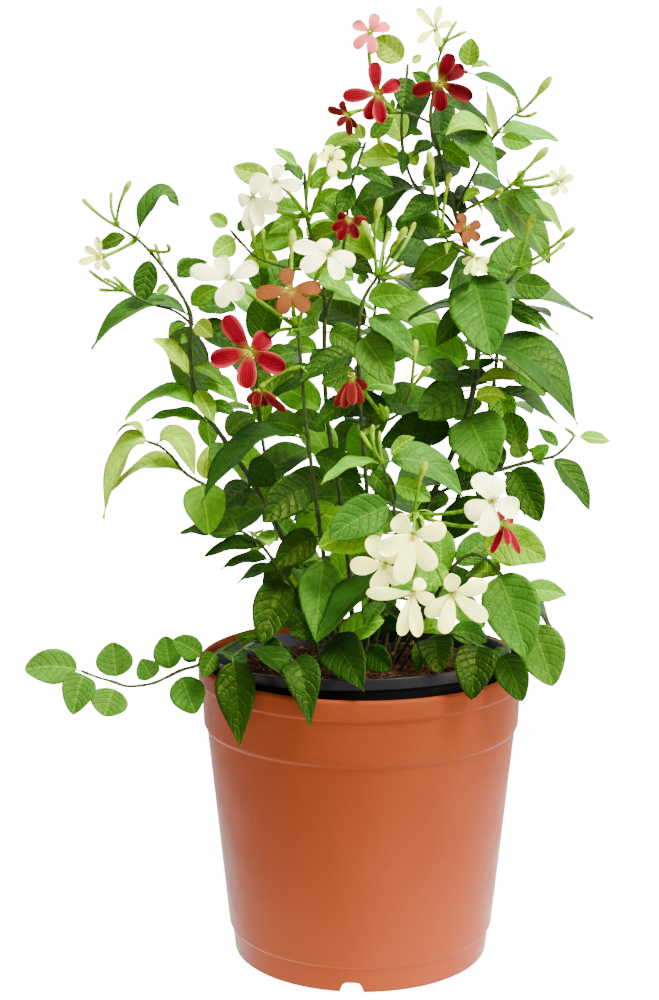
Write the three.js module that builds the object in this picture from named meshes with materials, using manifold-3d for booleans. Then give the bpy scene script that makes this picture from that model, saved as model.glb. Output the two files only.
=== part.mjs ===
import * as THREE from "three";
import { mergeVertices } from "three/addons/utils/BufferGeometryUtils.js";
import Module from "manifold-3d";

const wasm = await Module();
wasm.setup();

// All sizes are in millimetres. The pot stands on z = 0 with its axis on the z axis, and its front is
// towards -y.
const RIM_RADIUS = 102.7;
const POT_HEIGHT = 190;
const BASE_RADIUS = 80.6;
const SKIRT_RADIUS = 84;
const LIP_RADIUS = 100.6;
const SKIRT_HEIGHT = 16;
const COLLAR_HEIGHT = 148;
const LIP_HEIGHT = 177;
const FLOOR_UNDERSIDE = 11;
const FLOOR_TOP = 15;
const POT_SIDES = 28;
const INNER_SIDES = 20;
const NOTCH = { count: 3, turn: -3.6, bottom: 18, top: 10, height: 6.5, reach: 12, past: 4 };
const OUTER_DRAIN = { ring: 46, radius: 6 };
const INNER_DRAIN = { ring: 40, radius: 5 };
const DRAIN_COUNT = 4;
const DRAIN_SIDES = 6;
const DRAIN_PAST = 1.5;

// The black nursery pot leans in the outer pot, with its front and right higher than its back.
const INNER_RIM_RADIUS = 94;
const INNER_BASE_RADIUS = 62;
const INNER_MOUTH_RADIUS = 89.6;
const INNER_WALL = 1.6;
const INNER_FLOOR = 2;
const INNER_LIP = 8;
const INNER_RIM_CENTRE = 193.2;
const RISE_TO_FRONT = 0.0824;
const RISE_TO_RIGHT = 0.025;
const SOIL_BELOW_RIM = 10;
const SOIL_DOME = 5;
const SOIL_LUMP = 1.1;
const GAP = 0.3;

// Stem, leaf and petal build
const ROOT_DEPTH = 14;
const STEM_SIDES = 4;
const BRANCH_SIDES = 4;
const LONG_SPAN = 28;
const TRACE_STEPS = 8;
const BLADE_THICKNESS = 0.8;
const PETAL_THICKNESS = 0.7;
const PETIOLE_WIDTH = 1.6;
const SHORT_STALK = 9;
const BLADE_RATIO = 0.5;
const ROUND_RATIO = 0.54;
const FOLD = 0.28;
const HUB_RADIUS = 2.1;
const TUBE_RADIUS = 1.2;
const TUBE_MOUTH = 1.4;
const MOUTH_GAP = 0.35;
const TUBE_SIDES = 3;
const BUD_RADIUS = 2.7;
const BUD_GIRTH = 0.26;

// Where a blade has rows of points along it, by the length that it is over
const BLADE_ROWS = [
  [64, [0.2, 0.5, 0.8]],
  [41, [0.26, 0.64]],
  [0, [0.44]],
];

// A petal's stations: how far along it, and how much of its full width it has there
const PETAL_STATIONS = [[0, 0], [0.62, 1], [1, 0.42]];
const PETAL_ARCH = 0.3;
const PETAL_FOOT = 0.8;

// Pieces stay clear of what they don't grow from, measured between points spread over both.
const SAMPLE_STEP = 2.2;
const CLEAR = 2.9;
const ROOT_ZONE = 11;
const PUSHES = [0, -4, 4, -9, 9, -15, 15, -22, 22, -30, 30, 40];
const LIFTS = [0, 4, -4, 9];
const SHIFTS = [0, -1, 1, -3, 3];

// Further leaves fill the plant behind the leaves that are placed as seen.
const LEAF_SEED = 41;
const FURTHER_SPACING = 52;
const BACK_SPACING = 31;
const FURTHER_TRIES = 10;
const FURTHER_RATIO = 0.58;
const FURTHER_STALK = 7;
const FURTHER_ARCH = 0.12;
const HEADING_SWING = 1.6;
const LEAST_REACH = 0.75;
const REACH_SWING = 0.4;
const HIGHEST_RISE = 0.28;
const RISE_SWING = 0.75;
const OUTWARD_SHARE = 0.92;
const OUTWARD_LEAN = 0.69;
const FURTHER_PLAINER = 16;
const FURTHER_OVERLAP = 0.12;

// Where gaps as seen are filled: a grid of spots, and how far from its spot a leaf's foot may look
const FILL_BOTTOM = 206;
const FILL_TOP = 552;
const FILL_SIDE = 112;
const FILL_STEP = 7;
const FILL_REACH = 2;
const FILL_NEAREST = 11;
const FILL_FARTHEST = 27;
const FILL_TRIES = 50;
const FORK_ROOM = 6;
const FILL_RATIO = 0.62;
const FILL_STALK = 6;
const FILL_ARCH = 3;
const LEAST_PAST = 0.75;
const PAST_SWING = 0.35;
const FORWARD_SHARE = 0.35;
const DEPTH_SWING = 50;
const UPWARD_SHARE = 0.69;

// The rows below give places as they look from a point in front of the plant, level with its upper part:
// x and z on the upright plane through the pot's axis, and y the depth behind (+) or before (-) that plane.
const EYE = new THREE.Vector3(0, -1280, 530);

// A stem's path as points [x, z, y], the stem it forks from, its radii at the root and the end, and the
// length of its further leaves. A leaf is [base x, base z, tip x, tip z, depth of the tip past the root,
// breadth as seen, arch]; the leaf's stalk runs from the stem to its base.
const STEMS = [
  {
    name: "stem_tall", on: "", radii: [2.05, 0.84], size: 46,
    points: [
      [13, 186, 8], [21, 232, 10], [39, 282, 8], [57, 322, 4], [67, 352, 0], [71, 384, 0], [69, 425, 4],
      [62, 450, 6], [56, 468, 5], [51, 485, 5], [46, 504, 4], [41, 521, 4], [42, 535, 6], [46, 547, 8],
      [55, 552, 8], [63, 551, 6],
    ],
    leaves: [
      [65, 428, 79, 381, -44, 38, 2], [42, 540, 29, 551, -10, 9, 1], [49, 532, 78, 518, 10, 8, 4],
      [63, 553, 65, 571, -4, 13, 0], [65, 553, 77, 554, 6, 4, 3], [65, 546, 93, 536, -8, 6, 6],
      [44, 507, 30, 501, -14, 8, 3], [47, 506, 65, 494, -14, 13, 4], [46, 475, 23, 462, -20, 13, 3],
      [45, 483, 35, 485, -16, 6, 0], [53, 474, 73, 468, 16, 8, 2], [51, 511, 83, 486, -24, 16, 6],
      [67, 412, 53, 421, -40, 18, 14], [51, 425, 30, 421, -16, 10, 3], [67, 434, 87, 430, -18, 8, 2],
      [55, 426, 57, 415, -50, 11, 2], [59, 446, 29, 426, -30, 18, 3], [72, 449, 86, 453, -12, 4, -1],
      [76, 378, 133, 338, -30, 24, 20], [69, 343, 81, 308, -52, 36, 2], [73, 364, 96, 366, -14, 8, 3],
      [89, 358, 121, 338, 4, 9, 8], [69, 349, 89, 354, -8, 11, 4], [63, 412, 45, 386, -12, 16, 2],
      [65, 400, 72, 372, -22, 20, 2], [59, 380, 35, 368, -24, 14, 3], [61, 362, 35, 342, -20, 26, 3],
      [49, 300, 21, 298, -40, 16, 4],
    ],
  },
  {
    name: "stem_centre", on: "", radii: [1.82, 0.76], size: 42,
    points: [
      [-5, 186, -6], [-7, 240, -12], [-13, 290, -16], [-21, 340, -18], [-23, 380, -16], [-23, 418, -12],
      [-27, 440, -12], [-32, 458, -12], [-34, 475, -13], [-35, 492, -14],
    ],
    leaves: [
      [-40, 494, -54, 506, -4, 6, 1], [-34, 481, -51, 488, 6, 6, 9], [-57, 488, -78, 495, 4, 14, 2],
      [-68, 484, -76, 460, 10, 7, 0], [-39, 465, -57, 455, -10, 12, 2], [-25, 414, 9, 407, 14, 6, 3],
      [-23, 398, -47, 392, -12, 12, 3], [-21, 396, 3, 378, -14, 18, 4], [-21, 374, -57, 352, -18, 13, 4],
      [-19, 366, -31, 384, -16, 14, 3], [-17, 346, 21, 345, -16, 17, 4], [-13, 300, -53, 296, -16, 20, 4],
      [-17, 330, -45, 342, -12, 12, 4], [-34, 478, -15, 493, -8, 10, 3], [-33, 463, -12, 481, 6, 12, 3],
      [-38, 468, -61, 474, -10, 10, 3],
    ],
  },
  {
    name: "stem_left", on: "", radii: [1.82, 0.7], size: 42,
    points: [
      [-15, 186, 0], [-37, 240, -6], [-61, 290, -10], [-85, 328, -10], [-98, 347, -8], [-104, 363, -6],
      [-106, 385, -2], [-105, 405, 0], [-113, 422, 2], [-125, 439, 2], [-135, 450, 0], [-142, 455, -2],
      [-150, 460, -4],
    ],
    leaves: [
      [-137, 452, -111, 471, 8, 9, 16], [-130, 442, -136, 414, -10, 15, -2],
      [-105, 404, -166, 384, -12, 10, 15], [-143, 450, -162, 445, 8, 9, 1],
      [-113, 429, -94, 438, -6, 11, 2], [-108, 410, -87, 422, -14, 12, 2],
      [-113, 426, -126, 418, -8, 6, 1], [-111, 430, -105, 441, 10, 7, 1],
      [-105, 401, -119, 392, -16, 6, 3], [-101, 413, -92, 392, -18, 12, 1],
      [-102, 367, -128, 391, -12, 10, 3], [-85, 390, -111, 388, -10, 6, 3],
      [-99, 363, -91, 338, -16, 12, 2], [-98, 347, -146, 340, -4, 8, 12], [-96, 334, -133, 340, 4, 7, 4],
      [-93, 358, -76, 351, -14, 12, 3], [-89, 334, -65, 342, -18, 16, 4],
      [-83, 330, -89, 306, -22, 16, 2], [-71, 312, -53, 300, -16, 20, 3], [-67, 300, -85, 286, 12, 18, 3],
      [-101, 375, -85, 362, -14, 9, 3],
    ],
  },
  {
    name: "stem_young", on: "stem_left", radii: [1.06, 0.7], size: 30,
    points: [
      [-63, 293, -11], [-87, 296, -24], [-108, 306, -30], [-117, 317, -30], [-125, 324, -30],
      [-133, 327, -30],
    ],
    leaves: [
      [-127, 326, -103, 304, -12, 14, 14], [-134, 326, -161, 278, -8, 12, 16],
      [-135, 328, -152, 331, 8, 3, -1], [-109, 307, -155, 296, 6, 8, 10],
      [-99, 304, -95, 268, -20, 26, 3], [-97, 301, -95, 324, -8, 13, -2],
    ],
  },
  {
    name: "stem_bloom", on: "", radii: [1.6, 0.84], size: 36,
    points: [
      [-9, 184, -22], [-21, 240, -36], [-29, 295, -46], [-35, 345, -52], [-37, 372, -54], [-39, 395, -54],
    ],
    leaves: [
      [-23, 330, -100, 287, -28, 13, 18], [-21, 256, -29, 200, -34, 26, 4],
      [-37, 383, -67, 371, -14, 13, 3], [-37, 372, -55, 358, -16, 11, 3], [-41, 394, -53, 398, -2, 8, 0],
      [-33, 340, -63, 336, -18, 17, 5], [-31, 318, 1, 300, -12, 16, 4], [-29, 300, -61, 276, -26, 24, 5],
      [-23, 268, -53, 248, -16, 20, 3], [-27, 280, 7, 262, -6, 16, 4],
    ],
  },
  {
    name: "stem_crown", on: "", radii: [1.52, 0.76], size: 34,
    points: [
      [1, 184, -18], [7, 240, -28], [3, 300, -38], [-1, 350, -44], [-2, 385, -50], [0, 412, -52],
      [8, 427, -52], [10, 429, -53], [12, 431, -53],
    ],
    leaves: [
      [4, 415, 33, 416, -16, 16, 3], [-6, 412, -29, 425, -10, 8, 3], [-3, 393, 18, 362, -26, 23, 4],
      [7, 405, 32, 380, -10, 14, 4], [-2, 422, -2, 430, -4, 6, 0], [-3, 352, -29, 336, -12, 14, 4],
      [3, 372, 41, 386, 8, 18, 5], [-4, 387, -38, 364, -16, 14, 4], [-3, 377, -25, 363, -10, 13, 3],
    ],
  },
  {
    name: "stem_front", on: "", radii: [1.44, 0.76], size: 32,
    points: [
      [5, 182, -32], [15, 225, -46], [22, 257, -58], [20, 287, -62], [16, 303, -62], [13, 315, -62],
    ],
    leaves: [
      [11, 315, -25, 300, -14, 7, 5], [19, 286, -20, 266, -16, 25, 3], [15, 320, 33, 330, -8, 8, 2],
      [15, 319, 63, 293, -12, 19, 10], [29, 268, -27, 260, -8, 22, 4], [11, 238, -28, 199, -30, 17, 4],
      [19, 300, 43, 290, -6, 14, 3], [19, 244, 45, 262, 10, 12, 3],
    ],
  },
  {
    name: "stem_right", on: "stem_tall", radii: [1.14, 0.7], size: 32,
    points: [
      [43, 290, 6], [65, 303, -4], [90, 311, -12], [100, 314, -12], [114, 317, -12], [120, 319, -12],
      [126, 324, -12], [132, 332, -12],
    ],
    leaves: [
      [133, 334, 154, 328, 6, 8, 0], [118, 316, 142, 284, -10, 14, 4], [92, 311, 111, 277, -16, 23, 4],
      [100, 314, 95, 329, -4, 12, 0], [103, 314, 116, 325, -10, 9, 1], [102, 312, 114, 313, 8, 4, 1],
      [123, 323, 109, 336, 10, 7, 0], [87, 309, 86, 326, 8, 7, 0], [89, 307, 102, 280, 8, 5, 3],
      [69, 303, 65, 322, 8, 14, 1], [71, 304, 83, 288, 10, 16, 2],
    ],
  },
  {
    name: "stem_low_right", on: "", radii: [1.44, 0.7], size: 34,
    points: [
      [21, 184, -14], [43, 222, -40], [59, 250, -54], [73, 256, -60], [85, 246, -62], [97, 232, -62],
      [103, 216, -62],
    ],
    leaves: [
      [71, 260, 115, 252, -8, 26, 8], [97, 231, 129, 230, 6, 14, 2], [79, 242, 104, 190, -24, 34, 5],
      [101, 206, 121, 171, -12, 29, 5], [100, 227, 126, 187, 10, 3, 7], [59, 246, 43, 236, -8, 14, 2],
      [55, 246, 83, 268, 14, 18, 2],
    ],
  },
  {
    name: "stem_bud_right", on: "stem_tall", radii: [0.99, 0.7], size: 30,
    points: [
      [70, 405, 2], [81, 418, -6], [91, 428, -10], [96, 436, -10],
    ],
    leaves: [
      [92, 424, 115, 424, 2, 16, 2], [83, 421, 141, 403, 10, 11, 10], [91, 412, 120, 394, 10, 5, 5],
      [87, 400, 110, 396, 14, 12, 3],
    ],
  },
  {
    name: "stem_upper_right", on: "stem_tall", radii: [0.99, 0.7], size: 30,
    points: [
      [56, 468, 5], [63, 482, 2], [69, 494, 0], [74, 505, -2], [79, 513, -4], [85, 520, -6],
    ],
    leaves: [
      [74, 511, 50, 514, -8, 10, 4], [81, 513, 103, 509, -8, 11, 3], [80, 514, 74, 543, 8, 6, -8],
      [83, 515, 118, 511, 10, 10, 5], [69, 495, 87, 503, 14, 10, 3],
    ],
  },
  {
    name: "stem_right_top", on: "stem_tall", radii: [0.91, 0.7], size: 28,
    points: [
      [57, 466, 5], [67, 472, -2], [78, 477, -6], [87, 482, -8], [94, 487, -8],
    ],
    leaves: [
      [78, 478, 61, 473, 10, 7, 2], [79, 478, 114, 437, -14, 23, 6], [91, 480, 115, 462, 8, 13, 4],
      [89, 486, 98, 493, 2, 5, 0], [107, 456, 121, 456, 8, 6, 2],
    ],
  },
  {
    name: "stem_top_shoot", on: "stem_tall", radii: [1.06, 0.7], size: 30,
    points: [
      [62, 452, 6], [49, 468, 10], [37, 479, 8], [30, 487, 6], [25, 502, 3], [23.5, 516, 0],
      [24, 531, -2], [26, 545, -2], [27, 556, -2],
    ],
    leaves: [
      [28, 559, 7, 571, -8, 17, 1], [28, 558, 35, 561, 6, 5, 0], [27, 551, 24, 530, -10, 15, 1],
      [19, 508, 37, 514, -6, 5, 2], [28, 509, 24, 490, -10, 7, 0], [21, 503, 33, 496, 6, 9, 2],
      [36, 480, -7, 469, -16, 12, 5],
    ],
  },
  {
    name: "stem_middle", on: "stem_centre", radii: [0.99, 0.7], size: 28,
    points: [
      [-23, 402, -14], [-15, 430, -18], [-10, 455, -18], [-8, 478, -16], [-3, 496, -14], [2, 510, -14],
    ],
    leaves: [
      [1, 510, -25, 502, -8, 8, 6], [-7, 506, -5, 490, -14, 7, -3], [3, 513, 19, 525, -4, 10, 1],
      [-9, 490, -15, 466, -14, 12, -2], [-3, 492, 19, 482, -8, 9, 3], [-5, 476, 3, 462, -8, 10, 1],
      [1, 512, -3, 521, 2, 7, 0], [-9, 452, -23, 446, -10, 8, 2], [-13, 438, 7, 430, 10, 10, 3],
      [-13, 455, -27, 474, -6, 9, 2], [-12, 460, -33, 451, 8, 16, 3],
    ],
  },
  {
    name: "stem_upper_left", on: "stem_centre", radii: [0.91, 0.7], size: 28,
    points: [
      [-26, 432, -12], [-43, 434, -20], [-63, 440, -26], [-73, 449, -26], [-80, 457, -26],
    ],
    leaves: [
      [-78, 458, -93, 465, -4, 9, 2], [-71, 452, -91, 441, -10, 14, 2], [-77, 455, -69, 462, -6, 6, 1],
      [-51, 438, -73, 438, 12, 12, 3],
    ],
  },
  {
    name: "stem_left_twig", node: "stem_left", on: "stem_left", radii: [0.84, 0.7], size: 24,
    points: [
      [-105, 400, 0], [-115, 408, -10], [-129, 412, -16], [-141, 418, -16], [-148, 421, -16],
    ],
    leaves: [],
  },
  {
    name: "stem_low_left", on: "", radii: [1.37, 0.7], size: 32,
    points: [
      [-25, 184, -18], [-37, 225, -34], [-51, 246, -42], [-63, 262, -44], [-77, 272, -40],
    ],
    leaves: [
      [-49, 240, -63, 198, -22, 25, 3], [-71, 270, -113, 269, 6, 12, 7], [-63, 262, -98, 254, 2, 9, 4],
      [-55, 252, -88, 246, 6, 7, 3], [-51, 247, -78, 237, 10, 7, 3], [-53, 254, -31, 262, -10, 14, 3],
      [-41, 236, -23, 214, -8, 18, 3],
    ],
  },
  {
    name: "stem_low_front", on: "", radii: [1.14, 0.7], size: 26,
    points: [
      [-5, 180, -46], [-13, 192, -56], [-24, 201, -62],
    ],
    leaves: [
      [-22, 198, 2, 167, -38, 27, 6], [4, 202, 19, 181, -20, 17, 6], [-25, 200, -45, 205, -6, 12, 4],
    ],
  },
  {
    name: "stem_low_rim", on: "", radii: [1.14, 0.7], size: 26,
    points: [
      [25, 182, -34], [41, 200, -60], [57, 205, -72], [73, 198, -78], [89, 192, -72],
    ],
    leaves: [
      [44, 206, 49, 179, -18, 22, 6], [37, 200, 35, 178, -14, 10, 5], [53, 205, 79, 200, 8, 14, 4],
      [73, 196, 70, 162, -22, 25, 6], [90, 192, 102, 161, -8, 20, 4], [79, 195, 91, 184, 8, 12, 3],
    ],
  },
  {
    name: "stem_trail", on: "", radii: [1.22, 0.7], size: 22,
    points: [
      [-39, 184, -18], [-61, 201, -30], [-79, 199, -38], [-93, 190, -42], [-103, 184, -42],
      [-113, 181, -41], [-121, 177, -40], [-132, 172, -40], [-147, 170, -40], [-157, 173, -41],
      [-167, 176, -42], [-177, 180, -42],
    ],
    leaves: [
      [-98, 187, -119, 200, -6, 15, 2], [-121, 179, -124, 203, 8, 18, 0],
      [-130, 173, -139, 188, -8, 15, 0], [-153, 175, -157, 199, 5, 23, 0],
      [-155, 174, -163, 150, -6, 24, 0], [-178, 181, -213, 180, -4, 22, 3],
      [-175, 179, -183, 151, -8, 21, 0], [-114, 178, -105, 152, -10, 22, 0],
      [-100, 182, -113, 190, 10, 7, 1], [-85, 190, -73, 183, -30, 10, 2],
      [-87, 188, -100, 176, -14, 12, 3], [-83, 196, -65, 204, 6, 7, 1],
    ],
  },
  {
    name: "stem_rim_left", on: "", radii: [1.14, 0.7], size: 24,
    points: [
      [-35, 182, -36], [-53, 200, -52], [-69, 198, -64], [-83, 188, -72],
    ],
    leaves: [
      [-81, 184, -77, 131, -12, 24, 3], [-71, 188, -40, 167, -24, 13, 8], [-61, 199, -55, 186, -8, 14, 4],
    ],
  },
  {
    name: "stem_back_left", on: "", radii: [1.67, 0.76], size: 56,
    points: [
      [-11, 190, 18], [-31, 240, 32], [-53, 290, 44], [-63, 340, 50], [-65, 385, 50], [-59, 425, 44],
    ],
    leaves: [],
  },
  {
    name: "stem_back_middle", on: "", radii: [1.75, 0.76], size: 58,
    points: [
      [3, 190, 22], [7, 240, 42], [9, 300, 56], [5, 350, 60], [7, 400, 52], [13, 445, 40], [15, 475, 30],
    ],
    leaves: [],
  },
  {
    name: "stem_back_right", on: "", radii: [1.67, 0.76], size: 56,
    points: [
      [19, 190, 18], [39, 240, 36], [61, 295, 46], [77, 340, 48], [83, 385, 42], [81, 425, 34],
    ],
    leaves: [],
  },
  {
    name: "stem_rim_twig", node: "stem_rim_left", on: "stem_rim_left", radii: [1.1, 0.8], size: 30,
    points: [
      [-53, 200, -52], [-47, 192, -74], [-42, 185, -90],
    ],
    leaves: [
      [-42, 183, -32, 143, -26, 22, 8],
    ],
  },
];

// Flower stalks that branch from the stems
const SPRAYS = [
  {
    name: "spray_top_left", on: "stem_tall", radii: [0.91, 0.76],
    points: [[41, 521, 4], [35, 524, 0], [27, 527, -10], [17, 527, -14]],
  },
  {
    name: "spray_top_right", on: "stem_tall", radii: [0.84, 0.7],
    points: [[46, 547, 8], [45, 557, 8], [48, 566, 6], [49, 569, 6]],
  },
  {
    name: "spray_upper_right", on: "stem_upper_right", radii: [0.76, 0.7],
    points: [[85, 520, -6], [90, 525, -8], [95, 528, -8]],
  },
  {
    name: "spray_upper_middle", on: "stem_tall", radii: [0.91, 0.76],
    points: [[66, 440, 4], [56, 447, -10], [47, 456, -16]],
  },
  {
    name: "spray_bloom", on: "stem_bloom", radii: [0.99, 0.84],
    points: [[-39, 395, -54], [-40, 399, -56], [-41, 403, -57]],
  },
  {
    name: "spray_centre", on: "stem_centre", radii: [0.91, 0.76],
    points: [[-31, 456, -12], [-33, 460, -18], [-34, 466, -24]],
  },
  {
    name: "spray_low", on: "stem_front", radii: [1.06, 0.91],
    points: [[22, 260, -58], [28, 272, -68], [34, 284, -76]],
  },
  {
    name: "spray_yellow", on: "stem_crown", radii: [0.99, 0.84],
    points: [[0, 335, -43], [19, 342, -56], [28, 352, -60], [31, 366, -60]],
  },
];

// Buds by the stem or stalk that they grow from:
// [start x, start z, bend x, bend z, bend y, end x, end z, end y, length of the swollen end]
const BUDS = {
  stem_top_shoot: [
    [25, 500, 15, 500, -4, 9, 513, -6, 7],
  ],
  stem_upper_left: [
    [-63, 440, -66, 448, -28, -67, 459, -28, 6], [-59, 439, -61, 448, -24, -60, 458, -22, 6],
  ],
  stem_left: [
    [-150, 460, -150, 472, -6, -140, 487, -8, 8], [-148, 459, -154, 468, -2, -152, 480, 0, 5],
    [-150, 460, -159, 464, -8, -170, 476, -12, 6], [-131, 444, -113, 441, -6, -119, 449, -12, 5],
    [-121, 434, -124, 441, -6, -126, 449, -8, 5],
  ],
  stem_left_twig: [
    [-148, 421, -157, 424, -18, -167, 433, -20, 4], [-143, 419, -150, 425, -20, -158, 428, -24, 4],
    [-139, 417, -146, 424, -12, -152, 429, -8, 4], [-148, 421, -154, 420, -14, -161, 421, -10, 5],
  ],
  stem_bud_right: [
    [96, 436, 98, 450, -12, 104, 467, -14, 10], [96, 436, 111, 442, -12, 129, 459, -16, 9],
    [94, 433, 111, 437, -6, 123, 450, -2, 7],
  ],
  stem_right_top: [
    [65, 471, 75, 475, -14, 85, 482, -20, 8], [89, 483, 97, 492, -10, 112, 507, -12, 10],
    [93, 486, 105, 487, -4, 117, 492, 0, 5],
  ],
  stem_right: [
    [132, 332, 129, 334, -14, 125, 336, -16, 4],
  ],
  stem_front: [
    [13, 314, 5, 322, -66, 7, 338, -68, 6], [14, 312, 7, 320, -60, -1, 334, -58, 5],
    [14, 313, 11, 322, -56, 11, 334, -54, 4],
  ],
  stem_crown: [
    [8, 429, 9, 446, -54, 0, 463, -56, 11], [10, 430, 11, 444, -50, 17, 456, -48, 7],
    [12, 431, 17, 444, -56, 27, 459, -60, 9], [12, 431, 25, 443, -48, 32, 462, -46, 6],
    [11, 430, 18, 431, -60, 25, 438, -66, 5], [10, 429, 17, 426, -54, 27, 431, -58, 5],
    [9, 429, 5, 450, -52, 11, 477, -56, 12],
  ],
  spray_top_right: [
    [48, 566, 51, 574, 4, 56, 581, 4, 4], [49, 568, 54, 572, 7, 62, 575, 8, 4],
  ],
  spray_upper_right: [
    [95, 528, 102, 533, -8, 113, 549, -10, 11], [92, 526, 98, 523, -12, 105, 528, -16, 4],
    [93, 527, 95, 532, -2, 92, 537, 2, 4],
  ],
  spray_upper_middle: [
    [47, 456, 44, 476, -20, 40, 505, -20, 12], [47, 456, 49, 474, -14, 53, 492, -10, 8],
  ],
  spray_bloom: [
    [-41, 400, -45, 424, -64, -42, 458, -66, 12],
  ],
  spray_centre: [
    [-33, 462, -36, 480, -20, -28, 504, -24, 12],
  ],
  spray_low: [
    [35, 285, 34, 298, -78, 40, 315, -80, 9],
  ],
  spray_yellow: [
    [31, 364, 32, 376, -62, 33, 391, -64, 9], [30, 360, 35, 366, -64, 42, 374, -68, 9],
  ],
};

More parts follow.
